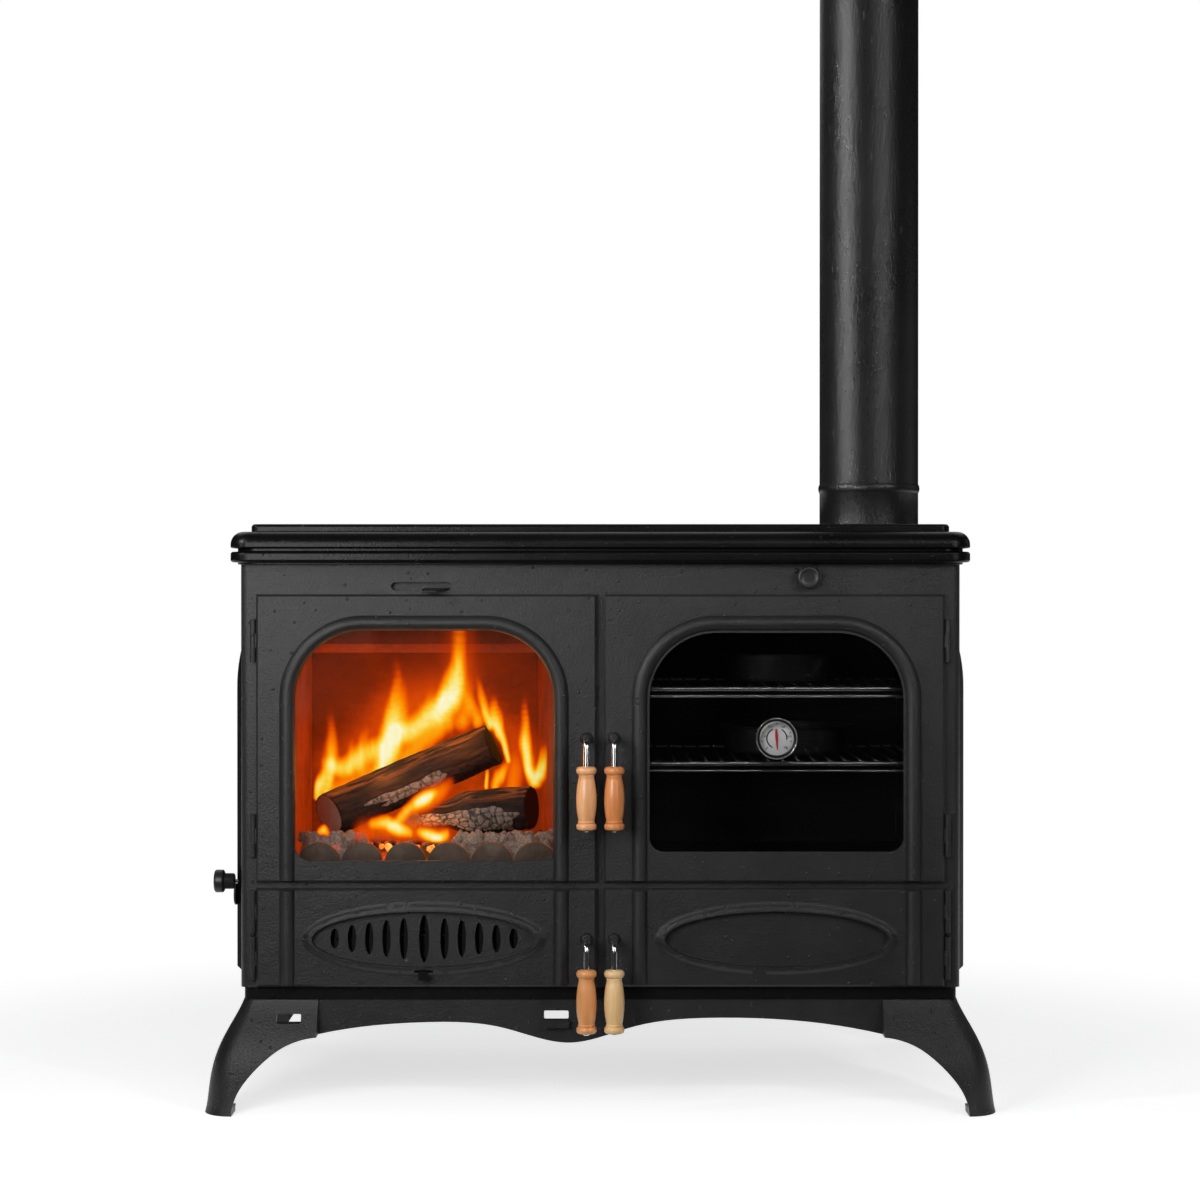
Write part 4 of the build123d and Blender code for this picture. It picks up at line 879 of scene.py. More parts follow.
def rise(value: float, low: float, high: float) -> float:
    """Smooth rise from 0 at low to 1 at high."""
    share = min(max((value - low) / (high - low), 0.0), 1.0)
    return share * share * (3 - 2 * share)


def smooth_path(spots: Sequence[Sequence[float]], share: float) -> tuple[float, ...]:
    """Values at a share of the way along a smooth line through some points."""
    count = len(spots) - 1
    step = min(int(share * count), count - 1)
    t = share * count - step
    four = (spots[max(step - 1, 0)], spots[step], spots[step + 1], spots[min(step + 2, count)])
    return tuple(
        0.5 * (2 * b + (c - a) * t + (2 * a - 5 * b + 4 * c - d) * t**2 + (3 * b - a - 3 * c + d) * t**3)
        for a, b, c, d in zip(*four)
    )


# Geometry nodes


class Pattern:
    """Geometry node tree that repeats a shape."""

    def __init__(self, name: str, **inputs: str) -> None:
        """Starts a tree.

        Args:
            name: the tree's name.
            inputs: kinds of its named inputs, beside the geometry and the finish.
        """
        self.tree = bpy.data.node_groups.new(name, "GeometryNodeTree")
        self.names: dict[str, str] = {}
        for label, kind in {"Geometry": "Geometry", **inputs, "Finish": "Material"}.items():
            item = self.tree.interface.new_socket(label, in_out="INPUT", socket_type=f"NodeSocket{kind}")
            self.names[label] = item.identifier
        self.tree.interface.new_socket("Geometry", in_out="OUTPUT", socket_type="NodeSocketGeometry")
        self.entry = self.tree.nodes.new("NodeGroupInput")

    def __getitem__(self, name: str) -> Socket:
        """The socket of a named input."""
        return self.entry.outputs[name]

    def node(
        self, kind: str, settings: dict[str, object], sockets: dict[object, object], output: object = 0,
    ) -> Socket:
        """Adds a node and returns one of its outputs."""
        made = self.tree.nodes.new(kind)
        for key, value in settings.items():
            setattr(made, key, value)
        for key, value in sockets.items():
            if isinstance(value, Socket):
                self.tree.links.new(value, made.inputs[key])
            else:
                made.inputs[key].default_value = value
        return made.outputs[output]

    def given_shape(self) -> Socket:
        """The geometry of the object that is given as Shape."""
        return self.node("GeometryNodeObjectInfo", {}, {"Object": self["Shape"]}, "Geometry")

    def copies(self, points: Socket, instance: Socket, **sockets: object) -> Socket:
        """Sets a shape on each point."""
        given = {"Points": points, "Instance": instance, **sockets}
        return self.node("GeometryNodeInstanceOnPoints", {}, given)

    def close(self, instances: Socket) -> "Pattern":
        """Ends the tree in Realize Instances and Set Material."""
        real = self.node("GeometryNodeRealizeInstances", {}, {0: instances})
        done = self.node("GeometryNodeSetMaterial", {}, {0: real, "Material": self["Finish"]})
        self.tree.links.new(done, self.tree.nodes.new("NodeGroupOutput").inputs[0])
        return self

    def make(self, name: str, base: Mesh, values: dict[str, object], material: Material) -> Piece:
        """Runs the tree on a mesh and keeps the result as a plain object.

        Args:
            name: the piece's name.
            base: mesh that the tree starts from.
            values: the named inputs.
            material: the finish.

        Returns:
            The new object.
        """
        carrier = linked(f"carrier_{name}", base)
        modifier = carrier.modifiers.new(name, "NODES")
        modifier.node_group = self.tree
        for key, value in {**values, "Finish": material}.items():
            modifier[self.names[key]] = value
        mesh = final_mesh(carrier)
        bpy.data.objects.remove(carrier)
        return new_object(name, mesh, material)


def points_mesh(name: str, spots: Iterable[Vector]) -> Mesh:
    """Mesh of loose points."""
    mesh = bpy.data.meshes.new(name)
    mesh.from_pydata([tuple(spot) for spot in spots], [], [])
    return mesh


def seeds_pattern() -> Pattern:
    """Tree that sets a shape on each point, as it stands."""
    p = Pattern("shape_on_points", Shape="Object")
    return p.close(p.copies(p["Geometry"], p.given_shape()))


def scatter_pattern() -> Pattern:
    """Tree that strews turned and scaled copies of a shape over a surface."""
    p = Pattern(
        "strewn_shapes", Shape="Object", Density="Float", Smallest="Float", Largest="Float", Seed="Int",
    )
    seed = {"Seed": p["Seed"]}
    spread = {"Mesh": p["Geometry"], "Density": p["Density"], **seed}
    points = p.node("GeometryNodeDistributePointsOnFaces", {}, spread)
    any_turn = {0: (0, 0, 0), 1: (6.28, 6.28, 6.28), **seed}
    turn = p.node("FunctionNodeRandomValue", {"data_type": "FLOAT_VECTOR"}, any_turn)
    sizes = {2: p["Smallest"], 3: p["Largest"], **seed}
    size = p.node("FunctionNodeRandomValue", {"data_type": "FLOAT"}, sizes, 1)
    return p.close(p.copies(points, p.given_shape(), Rotation=turn, Scale=size))


def row_pattern() -> Pattern:
    """Tree that repeats a round wire along a line."""
    p = Pattern("row_of_wires", Count="Int", Start="Vector", Pitch="Vector", Length="Float", Radius="Float")
    row = {"Count": p["Count"], "Start Location": p["Start"], "Offset": p["Pitch"]}
    line = p.node("GeometryNodeMeshLine", {"mode": "OFFSET"}, row)
    rod = {"Vertices": 12, "Radius": p["Radius"], "Depth": p["Length"]}
    wire = p.node("GeometryNodeMeshCylinder", {}, rod)
    smooth = p.node("GeometryNodeSetShadeSmooth", {}, {0: wire})
    return p.close(p.copies(line, smooth, Rotation=(math.pi / 2, 0, 0)))


def ticks_pattern() -> Pattern:
    """Tree that sets short marks round an arc of a dial that faces the front."""
    p = Pattern(
        "marks_on_a_dial", Count="Int", Radius="Float", From="Float", Sweep="Float", Mark="Vector",
        Centre="Vector",
    )
    sweep = {
        "Resolution": p["Count"], "Radius": p["Radius"], "Start Angle": p["From"], "Sweep Angle": p["Sweep"],
    }
    ring = p.node("GeometryNodeCurveArc", {"mode": "RADIUS"}, sweep)
    points = p.node("GeometryNodeCurveToPoints", {"mode": "EVALUATED"}, {0: ring})
    spot = p.node("GeometryNodeInputPosition", {}, {})
    facing = p.node("FunctionNodeAlignRotationToVector", {"axis": "X"}, {"Vector": spot})
    mark = p.node("GeometryNodeMeshCube", {}, {"Size": p["Mark"]})
    marks = p.copies(points, mark, Rotation=facing)
    placed = {0: marks, "Translation": p["Centre"], "Rotation": (math.pi / 2, 0, 0)}
    return p.close(p.node("GeometryNodeTransform", {}, placed))


# The stove


@dataclass
class Castings:
    """The iron body, its doors, its legs and its top."""

    iron: Material
    # A darker, glossier copy of the iron: painted shade on the rims.
    shaded_rim_iron: Material
    # A darker copy of the iron: painted shade on recessed and shaded castings.
    shade_darkened_iron: Material
    bevelled: Sequence[str] = (
        "front_frame", "back_panel", "left_side", "right_side", "base_plate", "front_apron",
        "hob_plate", "hob_lid", "top_frame", "deck_plate", "airwash_slide", "shaker_plate",
        "fire_door", "oven_door", "ash_door", "store_door",
    )
    smooth: Sequence[str] = (
        "leg_front_left", "leg_front_right", "leg_rear_left", "leg_rear_right", "cooktop_frame",
        "air_slide", "hinge_leaves", "flue_collar", "damper_plate", "shaker_grate",
    )
    # Castings that take the darker rim iron as painted shade.
    rims: Sequence[str] = ("cooktop_frame", "top_frame", "hob_plate")
    # Castings that take the darker iron as painted shade.
    painted_shade_nodes: Sequence[str] = (
        "base_plate", "left_side", "deck_plate", "damper_plate", "shaker_grate", "air_slide",
    )
    edge: float = 0.0011
    bevelled_angle: float = 40
    smooth_angle: float = 24

    def finish_of(self, node: str) -> Material:
        """Iron of a casting: glossier on the rims, sooted where hands and brushes don't reach."""
        if node in self.rims:
            return self.shaded_rim_iron
        return self.shade_darkened_iron if node in self.painted_shade_nodes else self.iron

    def build(self) -> None:
        """Makes every casting."""
        for node in self.bevelled:
            smooth_copy(node, self.finish_of(node), self.bevelled_angle, self.edge)
        for node in self.smooth:
            smooth_copy(node, self.finish_of(node), self.smooth_angle)


@dataclass
class Doors:
    """Panes, clips and seals of the doors."""

    rope: Material
    steel: Material
    film: Sequence[tuple[str, float, float, float]] = (("fire", 0.035, 0.3, 0.06), ("oven", 0.16, 0.08, 0.5))
    clip_edge: float = 0.0006

    def build(self) -> None:
        """Dresses what the doors carry."""
        for side, haze, soot, shine in self.film:
            node = f"{side}_door_glass"
            low, centre, high = extent(node)
            half = ((high[0] - low[0]) / 2, (high[2] - low[2]) / 2)
            smooth_copy(node, StoveGlass(f"glass_{side}", centre, half, haze, soot, shine).build())
            smooth_copy(f"{side}_door_clips", self.steel, 40, self.clip_edge)
        for door in ("fire", "oven", "ash", "store"):
            smooth_copy(f"{door}_door_seal", self.rope)


@dataclass
class Flue:
    """Length of stove pipe with a rolled bead."""

    paint: Material
    bead_height: float = 0.055
    bead_half: float = 0.007
    wall: float = 0.002
    bead_proud: float = 0.002
    bead_steps: int = 12
    bead_power: float = 0.8  # below 1 makes the bead fuller than a sine

    def build(self) -> None:
        """Turns the pipe."""
        low, middle, high = extent("flue_pipe")
        outer = (high[0] - low[0]) / 2 - self.bead_proud
        inner = outer - self.wall
        tall = high[2] - low[2]
        bead = []
        for step in range(self.bead_steps + 1):
            swell = math.sin(math.pi * step / self.bead_steps) ** self.bead_power
            along = self.bead_height - self.bead_half + 2 * self.bead_half * step / self.bead_steps
            bead.append((outer + self.bead_proud * swell, along))
        profile = [(inner, 0), (outer, 0), *bead, (outer, tall), (inner, tall), (inner, 0)]
        pipe = turned("pipe", profile, self.paint, (middle[0], middle[1], low[2]))
        mount(pipe, "stove", ["flue_pipe"])


@dataclass
class Handle:
    """Bent chrome rod and turned grip of one door."""

    door: str
    wood: Material
    chrome: Material
    rod_radius: float = 0.0045
    bend: float = 0.012
    grip_drop: float = 0.036  # from the spindle to the top of the grip
    rod_end: float = 0.002  # above the foot of the grip
    nut_drop: float = 0.0012  # below the foot of the grip
    cam_radius: float = 0.0065
    cam_lobe: float = 0.004
    cam_thickness: float = 0.006
    cam_waist: float = 0.35  # cosine where the lobe begins
    cam_sides: int = 48

    def grip_profile(self) -> list[Span]:
        """Outline of the grip as radius and distance down from its top."""
        mm = 0.001
        top_bead = [
            (4.5, 0), (9.0, 0.1), (12.0, 1.0), (13.7, 3.0), (14.2, 5.7), (13.7, 8.4), (12.2, 10.6),
            (10.3, 11.6),
        ]
        collar = [(10.0, 12.0), (10.9, 12.5), (11.0, 13.4), (10.5, 14.0)]
        belly = [
            (10.4, 14.2), (11.6, 20), (12.9, 28), (13.85, 37), (14.2, 46), (13.9, 55), (13.0, 64),
            (11.9, 71), (11.0, 75),
        ]
        foot = [
            (11.3, 75.3), (11.9, 76.0), (11.9, 77.2), (11.2, 77.9), (10.8, 78.3), (12.4, 78.8), (13.8, 80.4),
            (14.2, 82.8), (13.9, 85.4), (12.7, 87.2), (10.5, 88.0), (4.5, 88.0),
        ]
        return [(r * mm, h * mm) for r, h in (*top_bead, *collar, *belly, *foot)]

    def build(self) -> None:
        """Makes the grip, the rod, its nut and its cam."""
        latch, grip = f"{self.door}_latch", f"{self.door}_grip"
        low, (x, y, _), high = extent(grip)
        body = body_of(grip)
        wood = turned(f"grip_{self.door}", self.grip_profile(), self.wood, (x, y, high[2]), -UP, 72, 55)
        mount(wood, body, [grip])
        rod_low, rod_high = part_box(latch)
        spindle_z = high[2] + self.grip_drop
        rod = bmesh.new()
        bends = ((x, rod_high[1], spindle_z), (x, y, spindle_z), (x, y, low[2] + self.rod_end))
        tube(rod, rounded_path([Vector(spot) for spot in bends], self.bend, 14), self.rod_radius, 28)
        mount(from_bmesh(f"rod_{self.door}", rod, self.chrome, 50), body, [latch])
        nut_profile = [(0, -0.0015), (0.0035, -0.0015), (0.0048, -0.0004), (0.005, 0.001), (0.005, 0.0028)]
        nut = turned(f"nut_{self.door}", nut_profile, self.chrome, (x, y, low[2] - self.nut_drop), UP, 6, 20)
        mount(nut, body, ())
        mount(self.cam(rod_low, rod_high, Vector((x, 0, spindle_z))), body, ())

    def cam(self, low: Vector, high: Vector, spindle: Vector) -> Piece:
        """Cam behind the door, towards the mullion."""
        towards = -1 if spindle.x > 0 else 1
        reach = (spindle.x - low[0]) if towards < 0 else (high[0] - spindle.x)
        outline = []
        for across, up in circle(self.cam_sides):
            on_lobe = across >= self.cam_waist
            size = self.cam_lobe if on_lobe else self.cam_radius
            centre = max(reach - self.cam_lobe, 0.0) if on_lobe else 0.0
            outline.append((spindle.x + towards * (centre + size * across), spindle.z + size * up))
        front, rear = ([(x, y, z) for x, z in outline] for y in (high[1] - self.cam_thickness, high[1]))
        return slab(f"cam_{self.door}", front, rear, self.chrome, 35)


@dataclass
class Thermometer:
    """Oven thermometer in the glass of the oven door."""

    chrome: Material
    painted_reflection: Material
    silver: Material
    # Black that stands for the dark reflection in the chrome bezel: painted reflection.
    print_ink: Material
    red: Material
    glass: Material
    radius: float = 0.0295
    dial_radius: float = 0.0238
    number_radius: float = 0.0178
    number_size: float = 0.0042
    numbers: int = 6
    number_step: int = 100
    first_angle: float = 225
    angle_step: float = 54
    print_lift: float = 0.00012
    lean: float = 3.5  # of the needle, in degrees
    rings: Sequence[tuple[str, int, float, float, float, Point]] = (
        ("gauge_ticks", 33, 0.0212, -45, 270, (0.0016, 0.0005, 0.0002)),
        ("gauge_long_ticks", 9, 0.0205, -45, 270, (0.003, 0.0012, 0.0002)),
        ("gauge_left_arc", 60, 0.0138, 112, 132, (0.0016, 0.001, 0.0002)),
        ("gauge_right_arc", 36, 0.0142, -6, 66, (0.0016, 0.001, 0.0002)),
    )  # name, marks, radius, first angle, sweep and size of a mark

    def build(self) -> None:
        """Makes the case, the dial, its print and the needle."""
        low, middle, high = extent("thermometer_case")
        centre = Vector((middle[0], low[1], middle[2]))
        deep = high[1] - low[1]
        r, d = self.radius, self.dial_radius
        rim = [
            (0, 0.007), (r - 0.0019, 0.007), (r - 0.0019, 0.0014), (r - 0.0016, 0.0005), (r - 0.001, 0.0),
            (r - 0.0004, 0.0005), (r, 0.0016), (r, 0.0095), (r - 0.0015, 0.012), (0.006, 0.012),
            (0.006, deep - 0.0005), (0.0052, deep), (0, deep),
        ]
        case = turned("gauge_case", rim, self.chrome, centre, INWARD, 96, 60)
        mount(case, "oven_door", ["thermometer_case"])
        # The black well stands for the dark reflection in a chrome bezel: painted reflection.
        well = [
            (0, 0.0066), (r - 0.0021, 0.0066), (r - 0.0021, 0.0014), (r - 0.0026, 0.0022),
            (d + 0.0012, 0.0047), (d + 0.0002, 0.005), (d + 0.0002, 0.0062), (0, 0.0062),
        ]
        mount(turned("gauge_well", well, self.painted_reflection, centre, INWARD, 96, 50), "oven_door", ())
        dial_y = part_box("thermometer_dial")[0][1] - low[1]
        dial = [(0, dial_y), (d - 0.0004, dial_y), (d, dial_y + 0.0003), (d, 0.006), (0, 0.006)]
        plate = turned("gauge_dial", dial, self.silver, centre, INWARD)
        mount(plate, "oven_door", ["thermometer_dial"])
        self.scale_marks(Vector((centre.x, centre.y + dial_y - self.print_lift, centre.z)))
        self.needle(centre)
        smooth_copy("thermometer_lens", self.glass)

    def scale_marks(self, face: Vector) -> None:
        """Prints the scale: two rings of marks, their arcs and the numbers."""
        marks = ticks_pattern()
        base = points_mesh("gauge_base", [])
        for name, count, radius, start, sweep, mark in self.rings:
            values = {
                "Count": count, "Radius": radius, "From": math.radians(start), "Sweep": math.radians(sweep),
                "Mark": mark, "Centre": tuple(face),
            }
            mount(marks.make(name, base, values, self.print_ink), "oven_door", ())
        for step in range(self.numbers):
            angle = math.radians(self.first_angle - self.angle_step * step)
            spot = face + Vector((math.cos(angle), 0, math.sin(angle))) * self.number_radius
            text = str(step * self.number_step)
            number = lettering(f"gauge_number_{step}", text, self.number_size, spot, self.print_ink, 0.0001)
            mount(number, "oven_door", ())

    def needle(self, centre: Vector) -> None:
        """Makes the tapered red needle."""
        low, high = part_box("thermometer_needle")
        half = (high[0] - low[0]) / 2
        front, rear = low[1], low[1] + 0.0009
        tall, drop = high[2] - centre.z, centre.z - low[2]
        edge = [
            (half * 0.4, tall), (half * 0.7, tall * 0.92), (half * 1.0, tall * 0.25),
            (half * 0.62, -drop * 0.5), (half * 0.3, -drop),
        ]
        lean = math.tan(math.radians(self.lean))
        outline = [(x - z * lean, z) for x, z in (*edge, *((-x, z) for x, z in reversed(edge)))]
        near = [(centre.x + x * 0.8, front, centre.z + z) for x, z in outline]
        far = [(centre.x + x, rear, centre.z + z) for x, z in outline]
        mount(slab("gauge_needle", near, far, self.red, 40), "needle", ["thermometer_needle"])
        hub = [(0, -0.0003), (0.0012, -0.0003), (0.0017, 0.0002), (0.0017, 0.0014)]
        cap = turned("gauge_hub", hub, self.red, (centre.x, front, centre.z), INWARD, 24)
        mount(cap, "needle", ())


def lettering(name: str, text: str, size: float, spot: Vector, material: Material, thick: float) -> Piece:
    """Flat sign or number that faces the front, centred on a place.

    Args:
        name: the piece's name.
        text: a number or sign.
        size: height of its line.
        spot: its middle.
        material: its finish.
        thick: how far it stands proud.

    Returns:
        The new object, as a mesh.
    """
    curve = bpy.data.curves.new(name, "FONT")
    curve.body = text
    curve.size = size
    curve.align_x = "CENTER"
    curve.align_y = "CENTER"
    curve.extrude = thick / 2
    curve.resolution_u = 3
    carrier = linked(name, curve)
    mesh = final_mesh(carrier)
    bpy.data.objects.remove(carrier)
    mesh.transform(Matrix.Translation(spot) @ Matrix.Rotation(math.pi / 2, 4, "X"))
    return new_object(name, mesh, material)


@dataclass
class Controls:
    """Damper knob, shaker, and the signs beside the air slide."""

    iron: Material
    steel: Material
    paint: Material
    knob_radius: float = 0.016
    disc_radius: float = 0.0162
    hub_radius: float = 0.0112
    sign_size: float = 0.012
    sign_thickness: float = 0.0012
    sign_row: float = 972.3
    sign_columns: Sequence[tuple[str, str, float]] = (
        ("sign_more_air", "+", 400.6), ("sign_less_air", "-", 447.0),
    )

    def build(self) -> None:
        """Makes the three controls."""
        self.damper()
        self.shaker()
        self.signs()

    def damper(self) -> None:
        """Turns the dished knob and its rod."""
        low, middle, high = extent("damper_knob")
        r, deep = self.knob_radius, high[1] - low[1]
        knob = [
            (0, 0.0016), (0.006, 0.0015), (0.0098, 0.0011), (0.0112, 0.0004), (0.0122, 0.0), (0.0138, 0.0002),
            (0.0152, 0.0012), (r, 0.003), (r, 0.0085), (0.0152, 0.0115), (0.013, 0.0138), (0.011, 0.014),
            (0.005, 0.014), (0.005, deep), (0, deep),
        ]
        centre = (middle[0], low[1], middle[2])
        piece = turned("damper_knob_turned", knob, self.iron, centre, INWARD, 72, 50)
        mount(piece, "damper", ["damper_knob"])

    def shaker(self) -> None:
        """Turns the side knob and dresses its rod."""
        low, middle, high = extent("shaker_knob")
        disc, hub, length = self.disc_radius, self.hub_radius, high[0] - low[0]
        knob = [
            (0, 0.0006), (disc - 0.0045, 0.0004), *arc((disc - 0.0036, 0.0036), 0.0036, -90, 0),
            *arc((disc - 0.003, 0.0108), 0.003, 0, 90), (hub + 0.0012, 0.0139), (hub, 0.0152),
            (hub, length - 0.002), (hub - 0.0015, length), (0.0025, length),
        ]
        centre = (low[0], middle[1], middle[2])
        piece = turned("shaker_knob_turned", knob, self.iron, centre, Vector((1, 0, 0)), 72, 50)
        mount(piece, "shaker", ["shaker_knob"])
        smooth_copy("shaker_rod", self.steel)

    def signs(self) -> None:
        """Sets the plus and the minus beside the air slide's tab."""
        casting = merged("ash_door")
        tree = BVHTree.FromBMesh(casting)
        casting.free()
        for name, text, column in self.sign_columns:
            spot, slope, _, _ = tree.ray_cast(seen_at(column, self.sign_row, -0.1), INWARD)
            mark = lettering(name, text, self.sign_size, Vector(), self.paint, self.sign_thickness)
            tilt = (-INWARD).rotation_difference(slope).to_matrix().to_4x4()
            mark.data.transform(Matrix.Translation(spot) @ tilt)
            mount(mark, "ash_door", ())


@dataclass
class OvenInside:
    """Enamelled oven, its wire racks and what stands on them."""

    enamel: Material
    wire: Material
    steel: Material
    tin: Material
    rod: float = 0.0035
    fine: float = 0.002
    wires: int = 19
    bar_inset: float = 0.014
    tin_wall: float = 0.0012
    tin_depth: float = 0.25  # behind the doors
    tins: Sequence[tuple[str, str, Span, float]] = (
        ("oven_tin_upper", "upper_oven_rack", (719.5, 841.5), 0.043),
        ("oven_tin_lower", "lower_oven_rack", (719.5, 854), 0.041),
    )  # name, rack, columns of the photograph and height

    def build(self) -> None:
        """Makes the oven's inside."""
        smooth_copy("oven_box", self.enamel, 40, 0.0008)
        smooth_copy("storage_box", self.steel, 40, 0.0005)
        for node in ("lower_oven_rack", "upper_oven_rack"):
            self.rack(node)
        for tin in self.tins:
            self.pan(*tin)

    def rack(self, node: str) -> None:
        """Bends one rack's rods and sets its wires."""
        low, middle, high = extent(node)
        height = high[2] - self.rod
        left, right = low[0] + self.rod, high[0] - self.rod
        near, far = low[1] + self.rod, high[1] - self.rod
        plan = ((left, near), (right, near), (right, far), (left, far))
        corners = [Vector((x, y, height)) for x, y in plan]
        start = (corners[0] + corners[1]) / 2
        shape = bmesh.new()
        loop = rounded_path([start, *corners[1:], corners[0], start], 0.0105, 8)[:-1]
        tube(shape, loop, self.rod, 16, closed=True)
        ends = (low[0] + self.bar_inset, high[0] - self.bar_inset)
        top, foot = height - self.rod * 0.5, low[2] + self.fine
        bends = ((ends[0], top), (ends[0], foot), (ends[1], foot), (ends[1], top))
        bar = [Vector((x, corners[0].y, z)) for x, z in bends]
        tube(shape, rounded_path(bar, 0.004, 6), self.fine, 12)
        mount(from_bmesh(f"rods_{node}", shape, self.wire, 60), body_of(node), [node])
        pitch = (high[0] - low[0] - 2 * self.rod) / (self.wires + 1)
        values = {
            "Count": self.wires, "Start": (corners[0].x + pitch, middle[1], high[2] - self.fine),
            "Pitch": (pitch, 0, 0), "Length": high[1] - low[1] - 2 * self.rod, "Radius": self.fine,
        }
        wires = row_pattern().make(f"wires_{node}", points_mesh("wire_base", []), values, self.wire)
        mount(wires, body_of(node), ())

    def pan(self, name: str, node: str, columns: Span, tall: float) -> None:
        """Turns a shallow dark tin and stands it on a rack."""
        left, right = (seen_at(column, 700, self.tin_depth).x for column in columns)
        radius = (right - left) / 2
        centre = ((left + right) / 2, door_face() + self.tin_depth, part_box(node)[1][2] + 0.0004)
        foot, wall = radius * 0.9, self.tin_wall
        profile = [
            (0, 0), (foot - 0.006, 0), (foot - 0.002, 0.0012), (foot, 0.005), (radius - 0.004, tall - 0.003),
            (radius - 0.001, tall - 0.0024), (radius, tall - 0.001), (radius - 0.001, tall),
            (radius - 0.004, tall), (radius - 0.005, tall - 0.003), (foot - wall, 0.005),
            (foot - 0.004, wall + 0.001), (0, wall),
        ]
        mount(turned(name, profile, self.tin, centre, sharp=55), "stove", ())


# Tongues of fire, each a line of points with column, row, reach and heat in the photograph's pixels

REAR_TONGUES: tuple[Spine, ...] = (
    ((317, 797, 3.5, 0.7), (320, 784, 4, 0.8), (324, 770, 3.5, 0.35)),
    (
        (324, 800, 6, 0.6), (328, 772, 7, 0.75), (330, 752, 6, 0.55), (331, 734, 5, 0.28),
        (331.5, 712, 3.5, 0.05),
    ),
    ((328, 764, 6, 0.7), (338, 768, 7, 0.72), (347, 767, 8, 0.7), (362, 757, 9, 0.7), (382, 748, 9, 0.68)),
    ((350, 770, 5, 0.5), (352, 755, 5, 0.35), (353, 738, 3, 0.08)),
    ((361, 766, 7, 0.5), (364, 748, 6, 0.4), (365, 726, 4, 0.06)),
    ((336, 790, 9, 0.42), (352, 784, 9, 0.42), (370, 774, 9, 0.44)),
    (
        (380, 778, 8, 0.9), (386, 758, 10, 1.0), (392, 736, 11, 1.0), (395, 714, 9, 0.72),
        (397, 690, 7, 0.36), (397, 662, 4, 0.06),
    ),
    ((400, 728, 7, 0.6), (403, 706, 6, 0.36), (405, 676, 4, 0.05)),
    ((396, 734, 9, 0.8), (410, 731, 10, 0.8), (424, 722, 10, 0.82), (436, 711, 10, 0.85), (447, 700, 9, 0.8)),
    ((402, 758, 9, 0.45), (416, 748, 9, 0.5), (432, 734, 8, 0.5), (448, 722, 8, 0.5)),
    (
        (440, 716, 9, 0.7), (449, 702, 11, 0.88), (455, 688, 11, 0.92), (458, 668, 8.5, 0.72),
        (459, 648, 7, 0.42), (460, 616, 5.5, 0.24),
    ),
    ((424, 710, 6, 0.35), (430, 696, 5, 0.2), (433, 684, 3, 0.05)),
    ((462, 720, 8, 0.45), (467, 704, 7, 0.36), (469, 680, 5, 0.16), (470, 650, 4, 0.05)),
    ((492, 724, 4.5, 0.8), (487, 712, 4.5, 0.7), (482, 698, 4.5, 0.45), (476, 676, 3.5, 0.05)),
    ((478, 720, 7, 0.5), (470, 706, 6, 0.4), (464, 694, 5, 0.3)),
    (
        (507, 760, 2.4, 0.8), (505, 746, 3, 0.85), (500, 731, 4, 0.85), (496, 718, 5, 0.72),
        (494, 698, 4, 0.08),
    ),
    (
        (534, 782, 4.5, 0.7), (529, 764, 5.5, 0.85), (526, 744, 5.5, 0.85), (525.5, 724, 4.5, 0.45),
        (525, 698, 3, 0.05),
    ),
    ((537, 782, 4, 0.7), (540, 772, 4, 0.85), (542, 760, 3.4, 0.6), (543, 744, 2.6, 0.06)),
    ((530, 770, 5, 0.5), (535, 775, 5, 0.65), (540, 776, 4, 0.6)),
    ((512, 788, 9, 0.34), (514, 768, 9, 0.3), (514, 750, 7, 0.08)),
    ((497, 786, 4, 0.55), (501, 774, 4, 0.6), (506, 764, 3, 0.25)),
    ((488, 786, 2.6, 0.75), (489, 776, 2.6, 0.65), (489, 768, 2, 0.15)),
    ((332, 766, 20, 0.14), (362, 748, 22, 0.16), (395, 712, 24, 0.18), (425, 700, 24, 0.16)),
    ((425, 714, 24, 0.16), (455, 690, 24, 0.18), (460, 655, 19, 0.14), (460, 625, 14, 0.1)),
    ((480, 712, 18, 0.13), (500, 728, 16, 0.13), (525, 752, 18, 0.15), (536, 768, 16, 0.16)),
)
FRONT_TONGUES: tuple[Spine, ...] = (
    ((411, 806, 4, 0.5), (418, 802, 5, 0.95), (427, 797, 5, 1.0), (434, 793, 3.5, 0.5)),
    ((406, 811, 4, 0.4), (424, 801, 8, 0.42), (440, 792, 7, 0.36), (450, 784, 5, 0.2)),
    ((372, 824, 4, 0.5), (386, 823, 5, 0.8), (398, 829, 5, 0.9), (408, 833, 3.5, 0.5)),
    ((396, 824, 4, 0.6), (402, 816, 4, 0.6), (408, 808, 3.5, 0.5)),
    ((420, 832, 3.5, 0.5), (429, 835, 4.5, 0.9), (438, 838, 4.5, 0.95), (446, 834, 3.5, 0.5)),
    ((319, 832, 3, 0.4), (324, 830, 3.5, 0.7), (329, 833, 3, 0.4)),
    ((362, 832, 9, 0.2), (400, 830, 10, 0.24), (445, 837, 9, 0.2)),
)
HEARTH_ROW = 830  # where the coals lie in the photograph
BACK_GLOW = (430, 800, 0.3)  # column, row and depth where the painted firelight on the rear brick is brightest
# Where the painted firelight on the side bricks is brightest.
SIDE_GLOW = (385, 790, 0.2)
HOT_PLACES = (
    ((424, 798, 0.13), 0.065), ((392, 827, 0.1), 0.065), ((436, 838, 0.085), 0.045),
    ((324, 832, 0.1), 0.02), ((546, 822, 0.22), 0.05), ((312, 830, 0.2), 0.04),
)  # of the coals, each with its reach in metres


